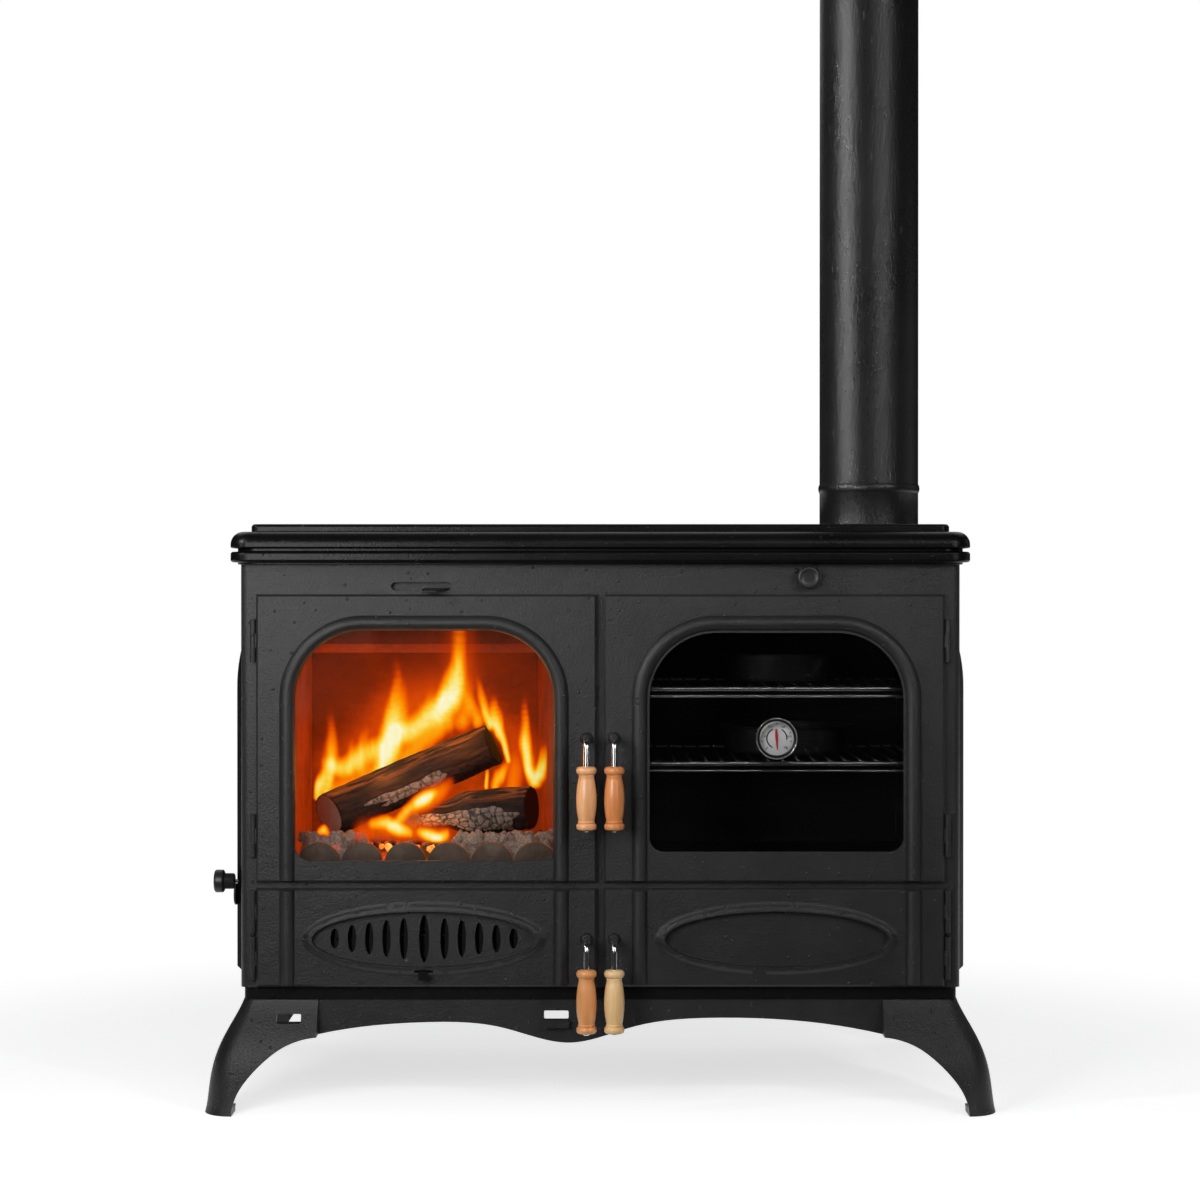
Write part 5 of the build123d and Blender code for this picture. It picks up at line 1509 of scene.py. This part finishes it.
@dataclass
class FlameSheet:
    """Body of fire as thick as it burns, made of tongues that flow together."""

    name: str
    tongues: Sequence[Spine]
    window: tuple[float, float, float, float]  # columns and rows that it fills
    depth: Callable[[float], float]  # of a row, behind the doors
    thickness: float = 0.012
    cell: float = 1.2
    least: float = 0.012
    samples: int = 20
    breadth: float = 1.6  # of a tongue, in its reaches
    height: float = 2.2
    waver: float = 7  # most columns that a place moves aside
    merging: float = 2.6
    soft_edge: float = 5

    def strengths(self, columns: int, rows: int) -> list[list[float]]:
        """How strong the fire burns at each point of the grid.

        Args:
            columns: cells across.
            rows: cells down.

        Returns:
            Values from 0 to 1, row by row.
        """
        left, _, top, _ = self.window
        cell = self.cell
        total = [[0.0] * (columns + 1) for _ in range(rows + 1)]
        wavy = [
            [self.wavy(left + i * cell, top + j * cell) for i in range(columns + 1)] for j in range(rows + 1)
        ]
        for spine in self.tongues:
            best: dict[tuple[int, int], float] = {}
            for step in range(self.samples + 1):
                px, py, reach, heat = smooth_path(spine, step / self.samples)
                wide, tall = reach * self.breadth, reach * self.height
                aside = wide + self.waver
                first_i, last_i = int((px - aside - left) / cell), int((px + aside - left) / cell)
                first_j, last_j = int((py - tall - top) / cell), int((py + tall - top) / cell) + 1
                for j in range(max(first_j, 0), min(last_j, rows) + 1):
                    up = ((top + j * cell - py) / tall) ** 2
                    for i in range(max(first_i, 0), min(last_i, columns) + 1):
                        away = ((wavy[j][i] - px) / wide) ** 2 + up
                        if away < 1:
                            best[i, j] = max(best.get((i, j), 0.0), heat * (1 - away) ** 2)
            for (i, j), value in best.items():
                total[j][i] += value**self.merging
        for j in range(rows + 1):
            for i in range(columns + 1):
                edge = min(i, columns - i, j, rows - j) * cell / self.soft_edge
                total[j][i] = min(total[j][i] ** (1 / self.merging), 1.0) * min(edge, 1)
        return total

    @staticmethod
    def wavy(column: float, row: float) -> float:
        """Column that a place takes its fire from, so that the tongues waver."""
        broad = noise.noise(Vector((column * 0.05, row * 0.018, 3))) * 4.5
        return column + broad + noise.noise(Vector((column * 0.16, row * 0.045, 9))) * 1.6

    def build(self, material: Material) -> None:
        """Makes the mesh where there is fire."""
        left, right, top, bottom = self.window
        columns, rows = int((right - left) / self.cell), int((bottom - top) / self.cell)
        strength = self.strengths(columns, rows)
        shape = bmesh.new()
        fire = shape.verts.layers.float.new("fire")
        corners: dict[tuple[int, int, int], Vertex] = {}

        def corner(side: int, i: int, j: int) -> Vertex:
            """Vertex of one side."""
            if (side, i, j) not in corners:
                value = strength[j][i]
                row = top + j * self.cell
                away = (2 * side - 1) * (0.0004 + self.thickness * value**0.7)
                middle = seen_at(left + i * self.cell, row, self.depth(row))
                vert = shape.verts.new(middle + Vector((0, away, 0)))
                vert[fire] = value
                corners[side, i, j] = vert
            return corners[side, i, j]

        kept = {
            (i, j) for j in range(rows) for i in range(columns)
            if max(strength[j + b][i + a] for a in (0, 1) for b in (0, 1)) > self.least
        }
        for i, j in sorted(kept):
            ring = ((i, j), (i + 1, j), (i + 1, j + 1), (i, j + 1))
            for side in (0, 1):
                shape.faces.new([corner(side, *place) for place in ring])
            for place, after, (x, y) in zip(ring, ring[1:] + ring[:1], ((0, -1), (1, 0), (0, 1), (-1, 0))):
                if (i + x, j + y) not in kept:
                    edge = ((0, place), (0, after), (1, after), (1, place))
                    shape.faces.new([corner(side, *spot) for side, spot in edge])
        mount(from_bmesh(self.name, shape, material, 80), "stove")


@dataclass
class BurningLog:
    """Log with obliquely sawn ends, bark above and cracked char below."""

    name: str
    start: Vector
    end: Vector
    ash_height: Span  # band round the log, from -1 below to 1 above
    ash_reach: Span  # shares of its length
    heat_below: float
    seed: float
    waist: float = 1.0  # share of the radius at the start
    radius: float = 0.0325
    slant: float = 0.42
    sides: int = 120
    cells: float = 78  # of the char, per metre
    groove_depth: float = 0.0028
    fibre_depth: float = 0.0016
    worn_edge: float = 0.004

    def build(self, wood: Material) -> None:
        """Makes the mesh with its marks."""
        direction = self.end - self.start
        length = direction.length
        turn = Vector((1, 0, 0)).rotation_difference(direction.normalized())
        shape = bmesh.new()
        names = ("char", "heat", "lit", "crack", "cut")
        layers = {name: shape.verts.layers.float.new(name) for name in names}
        uv = shape.loops.layers.uv.new("round_log")
        grid = []
        for ring in range(self.sides + 1):
            along = ring / self.sides
            grid.append([])
            for c, s in circle(self.sides):
                out = Vector((0, c, s))
                marks, size = self.marks(along, out, length)
                oblique = -self.slant * self.radius * out.y * (1 - 2 * along)
                spot = Vector((along * length + oblique, 0, 0)) + out * size
                vert = shape.verts.new(self.start + turn @ spot)
                for name, value in marks.items():
                    vert[layers[name]] = value
                grid[-1].append(vert)
        for ring, (first, second) in enumerate(zip(grid, grid[1:])):
            for step in range(self.sides):
                after = (step + 1) % self.sides
                face = shape.faces.new((first[step], second[step], second[after], first[after]))
                across = (step, step, step + 1, step + 1)
                for loop, u, v in zip(face.loops, (ring, ring + 1, ring + 1, ring), across):
                    loop[uv].uv = (u / self.sides * length, v / self.sides * 2 * math.pi * self.radius)
        for row, pale in ((grid[0], 1.0), (grid[-1], 0.0)):
            self.sawn_end(shape, row, layers, pale)
        mount(from_bmesh(self.name, shape, wood, 60), "stove")

    def marks(self, along: float, out: Vector, length: float) -> tuple[dict[str, float], float]:
        """What the surface is at a place, and its radius there."""
        low, high = self.ash_height
        first, last = self.ash_reach
        height = out.z + 0.12 * noise.noise(Vector((along * 9, self.seed, out.z * 2)))
        band_round = rise(height, low - 0.12, low + 0.12) * (1 - rise(height, high - 0.12, high + 0.12))
        place = along + 0.16 * noise.noise(Vector((out.z * 3, out.y * 3, self.seed + along * 4)))
        char = band_round * rise(place, first - 0.06, first + 0.06)
        char *= 1 - rise(place, last - 0.06, last + 0.06)
        heat = 1 - rise(height, self.heat_below - 0.35, self.heat_below + 0.2)
        shift = Vector((along * length * self.cells + self.seed, self.seed, 0))
        cell = out * self.radius * self.cells + shift
        near, second = noise.voronoi(cell)[0][:2]
        groove = 1 - min((second - near) / 0.16, 1.0)
        swell = 1 + 0.07 * noise.noise(out * 1.1 + Vector((along * 5, self.seed, 0)))
        swell += 0.03 * noise.noise(out * 3 + Vector((along * 16, self.seed, 0)))
        fibres = abs(noise.noise(Vector((along * length * 18, math.atan2(out.z, out.y) * 5, self.seed))))
        waist = self.waist + (1 - self.waist) * rise(along, 0.25, 0.5)
        burnt = max(char, heat * 0.7)
        size = self.radius * waist * swell - self.groove_depth * groove * burnt
        size -= self.fibre_depth * (1 - burnt) * fibres
        edge = min(along, 1 - along) * length
        if edge < self.worn_edge:
            size -= 0.0018 * (1 - edge / self.worn_edge) ** 2
        lit = rise(out.z, 0.35, 0.95)
        return {"char": char, "heat": heat, "lit": lit, "crack": groove * burnt, "cut": 0.0}, size

    def sawn_end(self, shape: Shape, rim: Sequence[Vertex], layers: dict[str, object], pale: float) -> None:
        """Closes an end with a rough sawn face, pale or sooted."""
        rough = 0.0008
        centre = sum((vert.co for vert in rim), Vector()) / len(rim)
        last = rim
        for share in (0.94, 0.8, 0.55, 0.3, 0.1):
            row = []
            for vert in rim:
                lift = rough * noise.noise(vert.co * 60 * share + Vector((self.seed, 0, 0))) + rough
                made = shape.verts.new(centre + (vert.co - centre) * share + Vector((0, lift, 0)))
                made[layers["cut"]] = 1.0
                made[layers["char"]] = pale
                row.append(made)
            band(shape, last, row)
            last = row
        shape.faces.new(last)


@dataclass(frozen=True)
class Heap:
    """Lumps strewn over a flat patch above the deck plate."""

    name: str
    columns: Span
    depths: Span  # behind the doors
    height: float
    density: float  # lumps on a square metre
    sizes: Span
    seed: int

    def build(self, pattern: Pattern, lump: Piece, floor: float, material: Material) -> None:
        """Strews the lumps."""
        values = {
            "Shape": lump, "Density": self.density, "Smallest": self.sizes[0], "Largest": self.sizes[1],
            "Seed": self.seed,
        }
        mount(pattern.make(self.name, self.ground(floor + self.height), values, material), "stove")

    def ground(self, height: float) -> Mesh:
        """The patch at its height."""
        (a, b), (c, d) = (
            [seen_at(column, HEARTH_ROW, depth).x for column in self.columns] for depth in self.depths
        )
        near, far = (door_face() + depth for depth in self.depths)
        mesh = bpy.data.meshes.new(f"ground_{self.name}")
        corners = [(a, near, height), (b, near, height), (d, far, height), (c, far, height)]
        mesh.from_pydata(corners, [], [(0, 1, 2, 3)])
        return mesh


@dataclass(frozen=True)
class Mound:
    """Low rough mound on the deck plate that fades out at its edges."""

    name: str
    columns: Span
    depths: Span  # behind the doors
    height: float
    seed: float
    across: int = 90
    deep: int = 50

    def build(self, floor: float, material: Material) -> None:
        """Makes the mound."""
        shape = bmesh.new()
        left, right = (seen_at(column, HEARTH_ROW, sum(self.depths) / 2).x for column in self.columns)
        near, far = (door_face() + depth for depth in self.depths)
        grid = []
        for j in range(self.deep + 1):
            grid.append([])
            for i in range(self.across + 1):
                u, v = i / self.across, j / self.deep
                spot = Vector((left + (right - left) * u, near + (far - near) * v, 0))
                rim = min(1.0, 7 * min(u, 1 - u), 5 * min(v, 1 - v))
                coarse = noise.noise(spot * 38 + Vector((self.seed, 0, 0)))
                rough = 0.7 + 0.35 * coarse + 0.2 * noise.noise(spot * 95)
                spot.z = floor + 0.0005 + self.height * max(rim, 0) ** 0.6 * rough
                grid[-1].append(shape.verts.new(spot))
        for first, second in zip(grid, grid[1:]):
            for i in range(self.across):
                shape.faces.new((first[i], first[i + 1], second[i + 1], second[i]))
        right_edge, left_edge = [row[-1] for row in grid[1:]], [row[0] for row in grid[-2:0:-1]]
        border = grid[0] + right_edge + grid[-1][-2::-1] + left_edge
        foot = [shape.verts.new((vert.co.x, vert.co.y, floor + 0.0002)) for vert in border]
        band(shape, border, foot)
        shape.faces.new(foot)
        mount(from_bmesh(self.name, shape, material, 60), "stove")


COAL_BED = Mound("coal_bed", (306, 548), (0.1, 0.3), 0.03, 2.3)
COALS = (
    Heap("coals_middle", (350, 480), (0.075, 0.2), 0.03, 3000.0, (0.006, 0.013), 11),
    Heap("coals_behind", (310, 548), (0.16, 0.3), 0.03, 500.0, (0.006, 0.014), 5),
)
ASHES = (
    Heap("ash_left", (300, 366), (0.068, 0.12), 0.042, 2200.0, (0.01, 0.022), 7),
    Heap("ash_middle", (380, 424), (0.064, 0.085), 0.034, 2000.0, (0.008, 0.014), 9),
    Heap("ash_right", (450, 556), (0.068, 0.13), 0.042, 2200.0, (0.01, 0.022), 3),
)
ASH_BANKS = (
    Mound("ash_bank_left", (296, 376), (0.058, 0.135), 0.06, 6.1),
    Mound("ash_bank_right", (442, 562), (0.058, 0.14), 0.06, 9.4),
)


@dataclass
class Firebox:
    """Lining, fence, logs, coals, ash and flames."""

    brick: Material
    side_brick: Material
    clay: Material
    coals: Material
    ash: Material
    steel: Material
    log_depth: float = 0.19
    upper_log: tuple[Point, Point] = ((328.7, 814.5, -0.02), (494.5, 743.5, 0.03))
    lower_log: tuple[Point, Point] = ((410, 818, -0.045), (532, 807, -0.02))  # columns, rows, added depths
    rear_window: tuple[float, float, float, float] = (308, 552, 620, 804)  # columns and rows of the fire
    front_window: tuple[float, float, float, float] = (312, 466, 742, 846)

    def build(self) -> None:
        """Lays the fire."""
        for node, material, edge in (
            ("fire_back_liner", self.brick, 0.002), ("fire_side_liners", self.side_brick, 0.002),
            ("baffle_plate", self.side_brick, 0.002), ("fire_fence", self.clay, 0.002),
            ("ash_pan", self.steel, 0.0005),
        ):
            smooth_copy(node, material, 40, edge)
        self.throat_brick()
        self.logs()
        self.bed()
        self.flames()

    def throat_brick(self) -> None:
        """Stands a low brick on the baffle, which shows at the top of the window."""
        low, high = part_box("baffle_plate")
        shape = bmesh.new()
        nearest = (low[0] + 0.004, low[1] + 0.002, high[2] + 0.0003)
        block(shape, nearest, (high[0] - 0.004, low[1] + 0.022, high[2] + 0.04))
        bmesh.ops.bevel(shape, geom=shape.edges[:], offset=0.0025, segments=2, affect="EDGES")
        mount(from_bmesh("throat_brick", shape, self.brick, 50), "stove")

    def logs(self) -> None:
        """Sets the two burning logs."""
        wood = CharredWood().build()
        upper, lower = (
            [seen_at(column, row, self.log_depth + depth) for column, row, depth in ends]
            for ends in (self.upper_log, self.lower_log)
        )
        BurningLog("log_upper", *upper, (-0.6, -0.08), (0.24, 0.68), -0.22, 3.1).build(wood)
        BurningLog("log_lower", *lower, (-0.8, 0.24), (-0.2, 0.86), -0.42, 8.4, 0.56).build(wood)

    def bed(self) -> None:
        """Heaps coals under the logs, and ash at both sides."""
        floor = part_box("deck_plate")[1][2]
        COAL_BED.build(floor, self.coals)
        lump = self.lump()
        pattern = scatter_pattern()
        for heaps, material in ((COALS, self.coals), (ASHES, self.ash)):
            for heap in heaps:
                heap.build(pattern, lump, floor, material)
        for bank in ASH_BANKS:
            bank.build(floor, self.ash)
        bpy.data.objects.remove(lump)

    def lump(self) -> Piece:
        """Angular piece of coal, a metre across before it is scaled."""
        shape = bmesh.new()
        bmesh.ops.create_icosphere(shape, subdivisions=2, radius=0.5)
        for vert in shape.verts:
            size = 1 + 0.35 * noise.noise(vert.co * 2.6) + 0.12 * noise.noise(vert.co * 7)
            vert.co = Vector((vert.co.x * size * 1.25, vert.co.y * size, vert.co.z * size * 0.75))
        return from_bmesh("coal_lump", shape, self.coals, 25)

    def flames(self) -> None:
        """Raises the fire behind the logs, and what licks out before them."""
        fire = Flame().build()
        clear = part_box("baffle_plate")[0][1] - 0.016 - door_face()
        behind = self.log_depth + 0.035

        def lean(row: float) -> float:
            """Depth of the rear fire, which leans forward under the baffle."""
            return clear + (behind - clear) * rise(row, 664, 735)

        def near(row: float) -> float:
            """Depth of the fire in front of the upper log."""
            return self.log_depth - 0.05 - 0.055 * rise(row, 790, 836)

        FlameSheet("flames_behind_logs", REAR_TONGUES, self.rear_window, lean).build(fire)
        FlameSheet("flames_between_logs", FRONT_TONGUES, self.front_window, near, 0.004).build(fire)


@dataclass
class Fixings:
    """Screws of the hinges and of the damper."""

    steel: Material
    head_radius: float = 0.0036
    leaf_inset: float = 0.0055
    sunk: float = 0.002
    leaf_gap: float = 0.022  # least height between two hinges
    damper_screw: Point = (796.6, 570.6, 0.01)  # column, row and depth

    def build(self) -> None:
        """Sets the screws."""
        head = self.screw_head()
        pattern = seeds_pattern()
        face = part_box("front_frame")[0][1]
        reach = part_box("hinge_leaves")[1][0] - self.leaf_inset
        hinges = [
            Vector((side * reach, face - self.sunk, (low + high) / 2))
            for side in (-1, 1) for low, high in self.hinge_spans()
        ]
        damper = seen_at(*self.damper_screw)
        damper.y = face
        for name, spots in (("hinge_screws", hinges), ("damper_screw", [damper])):
            base = points_mesh(f"places_{name}", spots)
            mount(pattern.make(name, base, {"Shape": head}, self.steel), "stove", ())
        bpy.data.objects.remove(head)

    def hinge_spans(self) -> list[Span]:
        """Lowest and highest point of each hinge on one side."""
        tops = sorted({round(v.co.z, 4) for v in frame["nodes"]["hinge_leaves"].data.vertices})
        gaps = [pair for pair in zip(tops, tops[1:]) if pair[1] - pair[0] > self.leaf_gap]
        return list(zip([tops[0], *(above for _, above in gaps)], [*(below for below, _ in gaps), tops[-1]]))

    def screw_head(self) -> Piece:
        """Domed, slotted screw head that faces the front, at the origin."""
        r = self.head_radius
        profile = [(0, 0.0021), (r * 0.45, 0.002), (r * 0.8, 0.0014), (r, 0.0004), (r, 0)]
        head = turned("screw_head", profile, self.steel, (0, 0, 0), -INWARD, 24, 50)
        slot = bmesh.new()
        block(slot, (-r * 1.1, -0.004, -0.0004), (r * 1.1, -0.0011, 0.0004))
        cutter = from_bmesh("screw_slot", slot, self.steel)
        cut = head.modifiers.new("slot", "BOOLEAN")
        cut.object = cutter
        cut.operation = "DIFFERENCE"
        cut.solver = "EXACT"
        applied(head)
        bpy.data.objects.remove(cutter)
        return head


@dataclass(frozen=True)
class SoftLight:
    """Rectangular lamp that faces a target."""

    name: str
    spot: Point
    target: Point
    size: Span
    power: float
    colour: Colour = WHITE
    spread: float = 180  # degrees

    def build(self) -> None:
        """Hangs the lamp."""
        light = bpy.data.lights.new(self.name, "AREA")
        light.shape = "RECTANGLE"
        light.size, light.size_y = self.size
        light.energy = self.power
        light.spread = math.radians(self.spread)
        light.color = self.colour
        piece = linked(self.name, light)
        piece.location = self.spot
        piece.rotation_euler = (Vector(self.target) - Vector(self.spot)).to_track_quat("-Z", "Y").to_euler()


LAMPS = (
    SoftLight("key", (-0.78, -1.6, 0.84), (-0.33, -0.2, 0.58), (0.7, 0.75), 13, (1.0, 0.995, 0.985)),
    SoftLight("fill", (1.75, -2.45, 1.25), (0.3, -0.1, 0.9), (0.35, 1.7), 8.5, (0.98, 0.99, 1.0)),
    SoftLight("pipe_left", (-1.09, -0.74, 1.7), (0.41, 0.07, 1.4), (0.07, 1.4), 4.6, WHITE, 70),
    SoftLight("pipe_right", (1.7, -2.35, 1.9), (0.41, 0.07, 1.4), (0.12, 1.2), 3.2, WHITE, 70),
    SoftLight("glint", (0.4, -2.0, 1.5), (0.3, -0.2, 0.55), (1.0, 0.05), 3),
    SoftLight("top", (0.1, 0.1, 3.6), (0.1, 0, 0.8), (2.0, 2.0), 1.5),
    SoftLight("side", (3.1, 0.9, 1.4), (0.4, 0, 0.7), (1.2, 1.2), 2),
)


@dataclass
class Studio:
    """Floor, lamps, black cards, world and camera."""

    lamps: Sequence[SoftLight] = LAMPS
    room_colour: Colour = (0.95, 0.97, 1)
    room_light: float = 0.2
    fire_colour: Colour = (1.0, 0.36, 0.08)
    fire_size: float = 0.03
    fire_lights: Sequence[tuple[str, Point, float]] = (
        ("fire_glow_left", (385, 770, 0.15), 0.3), ("fire_glow_right", (460, 735, 0.15), 0.3),
        ("fire_glow_low", (430, 822, 0.12), 0.15),
    )
    floor_half: float = 14
    card_half: float = 3.6  # half the width that the cards stand apart
    card_front: float = -5.0
    card_back: float = 12.0
    card_top: float = 4.38
    card_thickness: float = 0.02

    def build(self) -> None:
        """Sets up the studio."""
        self.floor()
        self.world()
        for lamp in self.lamps:
            lamp.build()
        self.cards()
        self.fire_light()
        self.camera()

    def floor(self) -> None:
        """Lays the floor."""
        shape = bmesh.new()
        bmesh.ops.create_grid(shape, x_segments=8, y_segments=8, size=self.floor_half)
        mesh = bpy.data.meshes.new("floor")
        shape.to_mesh(mesh)
        shape.free()
        new_object("floor", mesh, PaleFloor().build())

    def cards(self) -> None:
        """Sets black cards round the stove, which keep the white room off its flat iron."""
        half, front, back, top, thick = (
            self.card_half, self.card_front, self.card_back, self.card_top, self.card_thickness
        )
        foot = 0.01
        shape = bmesh.new()
        block(shape, (-half, front - thick, foot), (half, front, top + thick))
        block(shape, (-half, front, 0.002), (half, -0.38, 0.008))
        block(shape, (-half, front, top), (half, 1.2, top + thick))
        for side in (-half, half):
            block(shape, (side - thick / 2, front, foot), (side + thick / 2, back, top))
        block(shape, (-half, back + thick, foot), (half, back + 2 * thick, top + thick))
        card = from_bmesh("black_card", shape, Lacquer("black_felt", (0.004, 0.004, 0.004), 0.9).build())
        card.visible_camera = False
        card.visible_diffuse = False
        card.visible_shadow = False

    def world(self) -> None:
        """White to the eye, soft grey light to the object."""
        world = bpy.data.worlds.new("studio")
        bpy.context.scene.world = world
        g = Graph(world)
        seen = g.node("ShaderNodeBackground", {}, {"Color": (*WHITE, 1)})
        room = {"Color": (*self.room_colour, 1), "Strength": self.room_light}
        soft = g.node("ShaderNodeBackground", {}, room)
        shown = g.node("ShaderNodeMixShader", {}, {0: g.seen_directly(), 1: soft, 2: seen})
        g.end(shown, "ShaderNodeOutputWorld")

    def fire_light(self) -> None:
        """Warm light of the fire on its surroundings."""
        for name, point, power in self.fire_lights:
            light = bpy.data.lights.new(name, "POINT")
            light.energy = power
            light.color = self.fire_colour
            light.shadow_soft_size = self.fire_size
            linked(name, light).location = seen_at(*point)

    def camera(self) -> None:
        """Stands the camera at the photograph's place."""
        data = bpy.data.cameras.new("camera")
        data.lens = FOCAL_LENGTH
        data.sensor_width = SENSOR
        data.sensor_fit = "HORIZONTAL"
        camera = linked("camera", data)
        middle = (PHOTO_SIZE / 2 - PHOTO_MIDDLE) * METRES_PER_PIXEL
        camera.location = (middle, door_face() - CAMERA_DISTANCE, CAMERA_HEIGHT)
        pitch = math.atan((PHOTO_SIZE / 2 - HORIZON_ROW) / PHOTO_SIZE * SENSOR / FOCAL_LENGTH)
        camera.rotation_euler = (math.pi / 2 - pitch, 0, 0)
        bpy.context.scene.camera = camera


def build_thermometer(chrome: Material) -> None:
    """Makes the oven thermometer in its own finishes."""
    low, middle, _ = extent("thermometer_dial")
    bright_side = (middle[0] + 0.006, low[1], middle[2] - 0.008)
    finishes = (
        # The first black lacquer paints the dark reflection of the chrome bezel.
        Lacquer("gauge_black", (0.002, 0.002, 0.002), 0.3), DialSilver("dial_silver", bright_side),
        Lacquer("print_ink", (0.02, 0.02, 0.022)), Lacquer("needle_red", (0.42, 0.004, 0.008), 0.3), Lens(),
    )
    Thermometer(chrome, *(finish.build() for finish in finishes)).build()


def build_firebox(sheet: Material) -> None:
    """Makes the firebox in finishes that know where the fire is."""
    brick = FirelitBrick("back_brick", tuple(seen_at(*BACK_GLOW)), 0.42)
    side_glow = tuple(seen_at(*SIDE_GLOW))
    side_brick = FirelitBrick("side_brick", side_glow, 0.5, (0.62, 0.045, 0.001), (0.26, 0.02, 0.001))
    coals = Embers("coals", tuple((tuple(seen_at(*place)), reach) for place, reach in HOT_PLACES))
    clay = FenceClay("fence_clay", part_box("fire_fence")[0][1])
    Firebox(*(finish.build() for finish in (brick, side_brick, clay, coals, AshCrust())), sheet).build()


def dress() -> None:
    """Builds every sub-assembly in order."""
    iron = Iron().build()
    fine_iron = Iron("iron_fine", (0.02, 0.0202, 0.021), 0.36, 0.00009, 0.0003).build()
    # Darker copy of the iron, glossier: painted shade on the rims.
    shaded_rim_iron = Iron("iron_rim", (0.0035, 0.0035, 0.0037), 0.3, 0.0002, 0.0006, sheen=0.18).build()
    # Darker copy of the iron: painted shade on recessed and shaded castings.
    painted_shade_iron = Iron("iron_sooted", (0.003, 0.003, 0.003), 0.5, sheen=0.12).build()
    pipe_paint = Iron("flue_paint", (0.009, 0.009, 0.0093), 0.3, 0.0005, 0.0003, 0.3, 0.4).build()
    chrome = Plated("chrome").build()
    wire = Plated("rack_wire", (0.85, 0.85, 0.86), 0.16).build()
    dark_steel = SheetSteel("dark_steel", (0.05, 0.05, 0.052)).build()
    sheet = SheetSteel().build()
    tin = Enamel("tin_enamel", (0.012, 0.012, 0.0125), 0.22).build()

    Castings(iron, shaded_rim_iron, painted_shade_iron).build()
    Doors(Rope().build(), sheet).build()
    Flue(pipe_paint).build()
    for tone in WoodTone:
        Handle(tone.name.lower(), tone.value.build(), chrome).build()
    build_thermometer(chrome)
    Controls(fine_iron, dark_steel, Lacquer("sign_paint", (0.09, 0.09, 0.09), 0.4).build()).build()
    OvenInside(Enamel().build(), wire, sheet, tin).build()
    build_firebox(sheet)
    Fixings(dark_steel).build()
    Studio().build()


def main() -> None:
    """Builds the stove and notes its size."""
    logging.basicConfig(level=logging.INFO, format="%(name)s: %(message)s")
    dress()
    bpy.context.scene.view_settings.view_transform = "Standard"


if __name__ == "__main__":
    main()
